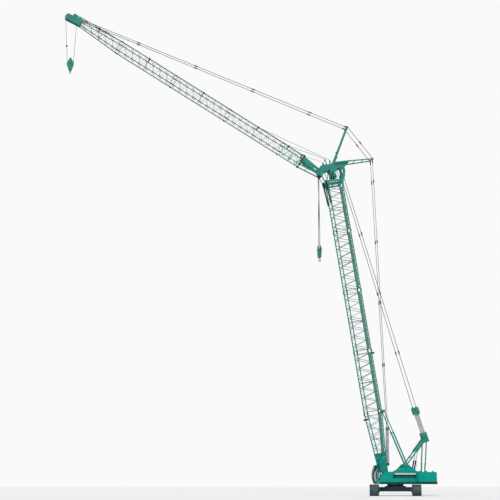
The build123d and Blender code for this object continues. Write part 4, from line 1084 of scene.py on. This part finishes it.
# each pad's centre, lean about Y, width, length and thickness
seat = {
    "pads": [
        ((-175, 164, 224), 0, 44, 42, 17),
        ((-152, 164, 268), 92, 74, 42, 13.5),
        ((-151, 164, 311), 92, 12, 26, 11),
    ],
    "middle": (-173, 164),
    "rail": 22.2,
    "pedestal": [(15, 0), (13, 4), (10, 8), (10, 20), (14, 24)],
}
padShape = {"cells": 12, "crown": 0.3, "waist": 0.05, "round": 0.16}


def addCushion(mesh, at, size):
    # a closed pad: crowned on its faces, its sides pulled in between the corners
    cells, crown, soft = padShape["cells"], padShape["crown"], padShape["round"]
    spots = {}

    def bulge(a, b):
        return math.sqrt(max(0, 1 - soft * (a * a + b * b) + soft * soft * a * a * b * b))

    def vertex(place):
        if place not in spots:
            u, v, w = (2 * i / cells - 1 for i in place)
            x = u * bulge(v, w) * (1 - padShape["waist"] * (1 - v * v))
            y = v * bulge(u, w) * (1 - padShape["waist"] * (1 - u * u))
            z = w * (1 - crown + crown * (1 - u ** 4) * (1 - v ** 4))
            z *= math.sqrt(1 - soft * w * w * (u * u + v * v) / 2)
            spots[place] = mesh.verts.new(at @ Vector([a * b / 2 for a, b in zip((x, y, z), size)]))
        return spots[place]

    for a in range(cells):
        for b in range(cells):
            for end in (0, cells):
                corners = ((a, b), (a + 1, b), (a + 1, b + 1), (a, b + 1))
                mesh.faces.new([vertex((p, q, end)) for p, q in corners])
                mesh.faces.new([vertex((end, p, q)) for p, q in corners])
                mesh.faces.new([vertex((q, end, p)) for p, q in corners])


def makeSeat():
    mesh = bmesh.new()
    for centre, turn, *size in seat["pads"]:
        turned = Matrix.Rotation(math.radians(turn), 4, "Y")
        addCushion(mesh, craneMm @ Matrix.Translation(centre) @ turned, size)
    for face in mesh.faces:
        face.smooth = True
    pads = newPiece("operatorSeat", mesh, "cabTrim", "upper", ("cab_interior",))
    mesh = bmesh.new()
    x, y = seat["middle"]
    addPlate(mesh, placeAt(craneMm, (x, y, 183.4)), cut(46, 40, 4), 0, 5)
    addTurned(mesh, placeAt(craneMm, (x, y, 188)), seat["pedestal"], 24)
    addPlate(mesh, placeAt(craneMm, (x - 1, y, 211)), cut(42, 40, 5), 0, 4)
    for rail in (y - seat["rail"], y + seat["rail"]):
        addRod(mesh, craneMm, [(-154, rail, 222), (-154, rail, 244), (-180, rail, 246)], 1.8, 8)
    newPiece("seatFrame", mesh, "darkSteel", "upper")


makeHouseTrim()
makeFrontPanel()
makeCabBars()
makeCab()
makeSeat()
print("house, cab and counterweight trims made")


# Tracks: four bolts on every shoe of the top run
shoes = {
    "count": 19, "first": -364.9, "pitch": 40.22, "gauge": 604, "top": 158.2,
    "boltX": 8, "boltY": 40, "bolt": 2.6,
}


def makeShoeBolts():
    mesh = bmesh.new()
    for side in (-1, 1):
        for i in range(shoes["count"]):
            x = shoes["first"] + shoes["pitch"] * i
            for y in (-shoes["boltY"], shoes["boltY"]):
                for dx in (-shoes["boltX"], shoes["boltX"]):
                    spot = (x + dx, side * shoes["gauge"] / 2 + y, shoes["top"])
                    addBolt(mesh, placeAt(trackMm, spot), shoes["bolt"])
    newPiece("shoeBolts", mesh, "trackSteel", "undercarriage")


# Struts: guide sheaves by the pivot, and the front head's cross pieces
strutTrim = {
    "front": [(0.19, -1), (0.32, 1)],  # share of the front strut, and the side it is on
    "frontSheave": [(11, 0), (12, 1), (12, 3), (9, 4.5), (9, 9.5), (12, 11), (12, 13), (11, 14)],
    "rear": 0.28,
    "rearSheave": [(15, 0), (17, 2), (13, 6), (13, 10), (17, 14), (15, 16)],
    "bracket": [(-16, -4), (16, 0), (6, 20), (-6, 20)],
    "head": [(-42, 8), (-38, 23), (10, 20), (16, 5), (2, 2)],
}


def makeStrutTrim():
    mesh = bmesh.new()
    ahead = (frontTip - strutPin).normalized()
    for share, lift in strutTrim["front"]:
        spot = strutPin.lerp(frontTip, share) + Vector((-ahead.z * 18 * lift, -7, ahead.x * 18 * lift))
        addTurned(mesh, placeAt(craneMm, spot, (0, 1, 0)), strutTrim["frontSheave"], 24)
    rear = strutPin.lerp(rearTip, strutTrim["rear"])
    addTurned(mesh, placeAt(craneMm, rear + Vector((0, -8, 18)), (0, 1, 0)), strutTrim["rearSheave"], 28)
    bracket = [(rear.x + x, rear.z + z) for x, z in strutTrim["bracket"]]
    for low, high in ((-9.5, -8.2), (8.2, 9.5)):
        addPlate(mesh, sideOf(craneMm, 0), bracket, low, high)
    newPiece("strutSheaves", mesh, "upperGreen", "struts")
    mesh = bmesh.new()
    head = [(frontTip.x + x, frontTip.z + z) for x, z in strutTrim["head"]]
    for side in (-1, 1):
        addPlate(mesh, sideOf(craneMm, side * 66), head, -3, 3)
        addSideBolt(mesh, craneMm, side, frontTip.x - 26, 69, frontTip.z + 12, 3)
    newPiece("strutHeadPlates", mesh, "upperGreen", "struts")


# Gantry cylinders: a collar at each neck, a bright rod out of it and a hose beside it
cylinders = {
    "foot": Vector((240, 0, 210.3)),
    "head": Vector((334.6, 0, 674.8)),
    "y": 50,
    "neckShare": 0.62,
    "collar": [(10.2, 0), (11.4, 1), (11.4, 8), (8, 10), (5.4, 11), (5.4, 12)],
    "rod": 5.3,
    "hose": 2,
}


def makeCylinderTrim():
    dark, bright = bmesh.new(), bmesh.new()
    run = cylinders["head"] - cylinders["foot"]
    ahead = run.normalized()
    shown = run.length * (1 - cylinders["neckShare"]) - 26
    for side in (-1, 1):
        foot = cylinders["foot"] + Vector((0, side * cylinders["y"], 0))
        neck = foot + run * cylinders["neckShare"]
        addTurned(dark, placeAt(craneMm, neck - ahead * 6, ahead), cylinders["collar"], 20)
        rod = [(cylinders["rod"], 0), (cylinders["rod"], shown)]
        addTurned(bright, placeAt(craneMm, neck + ahead * 7, ahead), rod, 18)
        start = foot + ahead * 30 + Vector((9, 0, -2))
        path = [start, start + Vector((14, side * 4, 40))]
        path += [neck + Vector((15, side * 5, -40)), neck + Vector((11, side * 2, -8))]
        addRod(dark, craneMm, smoothPath(path, 6), cylinders["hose"], 8)
    newPiece("gantryCylinderTrim", dark, "darkSteel", "upper")
    newPiece("gantryCylinderRods", bright, "brightSteel", "upper")


makeShoeBolts()
makeStrutTrim()
makeCylinderTrim()
print("track, strut and cylinder trims made")


# Hooks: every fall runs, fixed in place, from its top down to its block, and the blocks carry their fittings
jibPin = pins["jib_luff"] / mm
tipPin = inCrane(jibMm, -14, 0, 4373)
hooks = {
    "tip": {
        "node": "tip_hook_rope", "bodies": ("tip_rope", "tip_hook"),
        "top": tipPin + Vector((38, 0, -643)), "turnDeg": 0,
        "half": 51, "tall": 186, "cheek": 12, "shank": 14, "cap": (30, 20, 4),
    },
    "boom": {
        "node": "boom_hook_rope", "bodies": ("boom_hook_head", "boom_hook"),
        "top": jibPin + Vector((-23.8, 0, -1051.8)), "turnDeg": 90,
        "half": 50, "tall": 182, "cheek": 20, "shank": 20,
    },
}
hookFalls = {
    "radius": 2.8,
    "axleShare": 0.38,  # how far down a block its sheaves turn
    "boomSheaves": 22.4,
    "boom": [(-36, -8, -1), (-12, 8, -1), (12, -8, 1), (36, 8, 1)],  # y at the top, x and side at the block
    "tipSheave": 45.4,
    "tipBlockSheave": 40.4,
    "tipDeadEnd": (-60, 4213),
    "weightHeight": 6498,
}


def boomFalls():
    r = hookFalls["radius"] + hookFalls["boomSheaves"]
    x = jibPin.x - r
    z = hooks["boom"]["top"].z - hookFalls["axleShare"] * hooks["boom"]["tall"]
    return [(Vector((x, y, jibPin.z)), Vector((x + dx, side * r, z))) for y, dx, side in hookFalls["boom"]]


def tipFalls():
    # the outer fall leaves the tip's sheave at a tangent, and the inner one hangs from its dead end
    r = hookFalls["radius"]
    top = hooks["tip"]["top"]
    z = top.z - hookFalls["axleShare"] * hooks["tip"]["tall"]
    aside = hookFalls["tipBlockSheave"] + r
    wrap = hookFalls["tipSheave"] + r
    low = Vector((top.x - aside, 0, z))
    reach = low - tipPin
    slant = math.atan2(reach.x, -reach.z) + math.asin(wrap / reach.length)
    high = tipPin - Vector((math.cos(slant), 0, math.sin(slant))) * wrap
    x, along = hookFalls["tipDeadEnd"]
    return [(high, low), (inCrane(jibMm, x, 0, along), Vector((top.x + aside, 0, z)))]


def makeHookRopes():
    for name, falls in (("boom", boomFalls()), ("tip", tipFalls())):
        hook = hooks[name]
        mesh = bmesh.new()
        for high, low in falls:
            addRope(mesh, high, low, hookFalls["radius"])
        piece = newPiece(name + "HookFalls", mesh, "hookRope", replaced=(hook["node"],))
        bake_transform(piece)


def makeLimitWeight():
    # the hoist limit's weight hangs round the tip's outer fall
    high, low = tipFalls()[0]
    spot = high.lerp(low, (high.z - hookFalls["weightHeight"]) / (high.z - low.z))
    mesh = bmesh.new()
    profile = [(4, 0), (8, 1), (11, 4), (11, 24), (8, 27), (4, 28), (4, 14)]
    addTurned(mesh, placeAt(craneMm, spot, low - high), profile, 24, hollow=True)
    newPiece("hoistLimitWeight", mesh, "darkSteel", "tip_rope")


def makeHookFittings(name):
    dark, green = bmesh.new(), bmesh.new()
    hook = hooks[name]
    top, half, tall, cheek, shank = (hook[key] for key in ("top", "half", "tall", "cheek", "shank"))
    base = craneMm @ Matrix.Translation(top) @ Matrix.Rotation(math.radians(hook["turnDeg"]), 4, "Z")
    axle = -hookFalls["axleShare"] * tall
    rim = [(-0.3 * half, 0), (-half, -0.3 * tall), (-half, -0.46 * tall), (-0.3 * half, -tall)]
    for side in (-1, 1):
        for x, z in ((0.16, -0.06), (0.84, -0.38), (0.2, -0.92)):
            for flip in (-1, 1):
                addSideBolt(dark, base, side, x * half * flip, cheek + 3, z * tall, 2.6)
        boss = placeAt(base, (0, side * (cheek + 3), axle), (0, side, 0))
        addTurned(green, boss, [(20, 0), (19, 2.2), (12, 2.6)], 28)
        addSideBolt(dark, base, side, 0, cheek + 6, axle, 6)
        for flip in (-1, 1):
            points = [(x * flip * 0.97, side * (cheek + 3.6), z * 0.985 - 1) for x, z in rim]
            addRod(green, base, points, 1.2, 8)
    # covers close the block's sides below the sheaves
    for flip in (-1, 1):
        outline = [((half - 1) * flip, -0.46 * tall), ((half - 4) * flip, -0.46 * tall)]
        outline += [((0.3 * half - 3) * flip, 20 - tall), (0.3 * half * flip, 20 - tall)]
        addPlate(green, sideOf(base, 0), outline[::-flip], -cheek + 3.2, cheek - 3.2)
    nut = [(0.3 * shank, 0), (0.62 * shank, 0.5), (0.62 * shank, 5), (0.4 * shank, 6.5)]
    addTurned(dark, placeAt(base, (0, 0, -tall - 7), (0, 0, 1)), nut, 6)
    if "cap" in hook:
        addPlate(dark, base, cut(*hook["cap"]), 0.4, 15)
    body = hook["bodies"][1]
    newPiece(name + "HookBolts", dark, "darkSteel", body)
    newPiece(name + "HookBosses", green, "upperGreen", body)
    latch = bmesh.new()
    x, z = top.x, top.z - tall - 1.9 * shank
    shape = [(-0.35, 0.95), (-0.2, 1.02), (-0.82, 0.12), (-0.95, 0.2)]
    addPlate(latch, sideOf(craneMm, 0), [(x + a * shank, z + b * shank) for a, b in shape], -1.1, 1.1)
    newPiece(name + "HookLatch", latch, "brightSteel", body)


makeHookRopes()
makeLimitWeight()
makeHookFittings("tip")
makeHookFittings("boom")
print("hook ropes and block fittings made")


bpy.context.scene.view_settings.view_transform = "Standard"
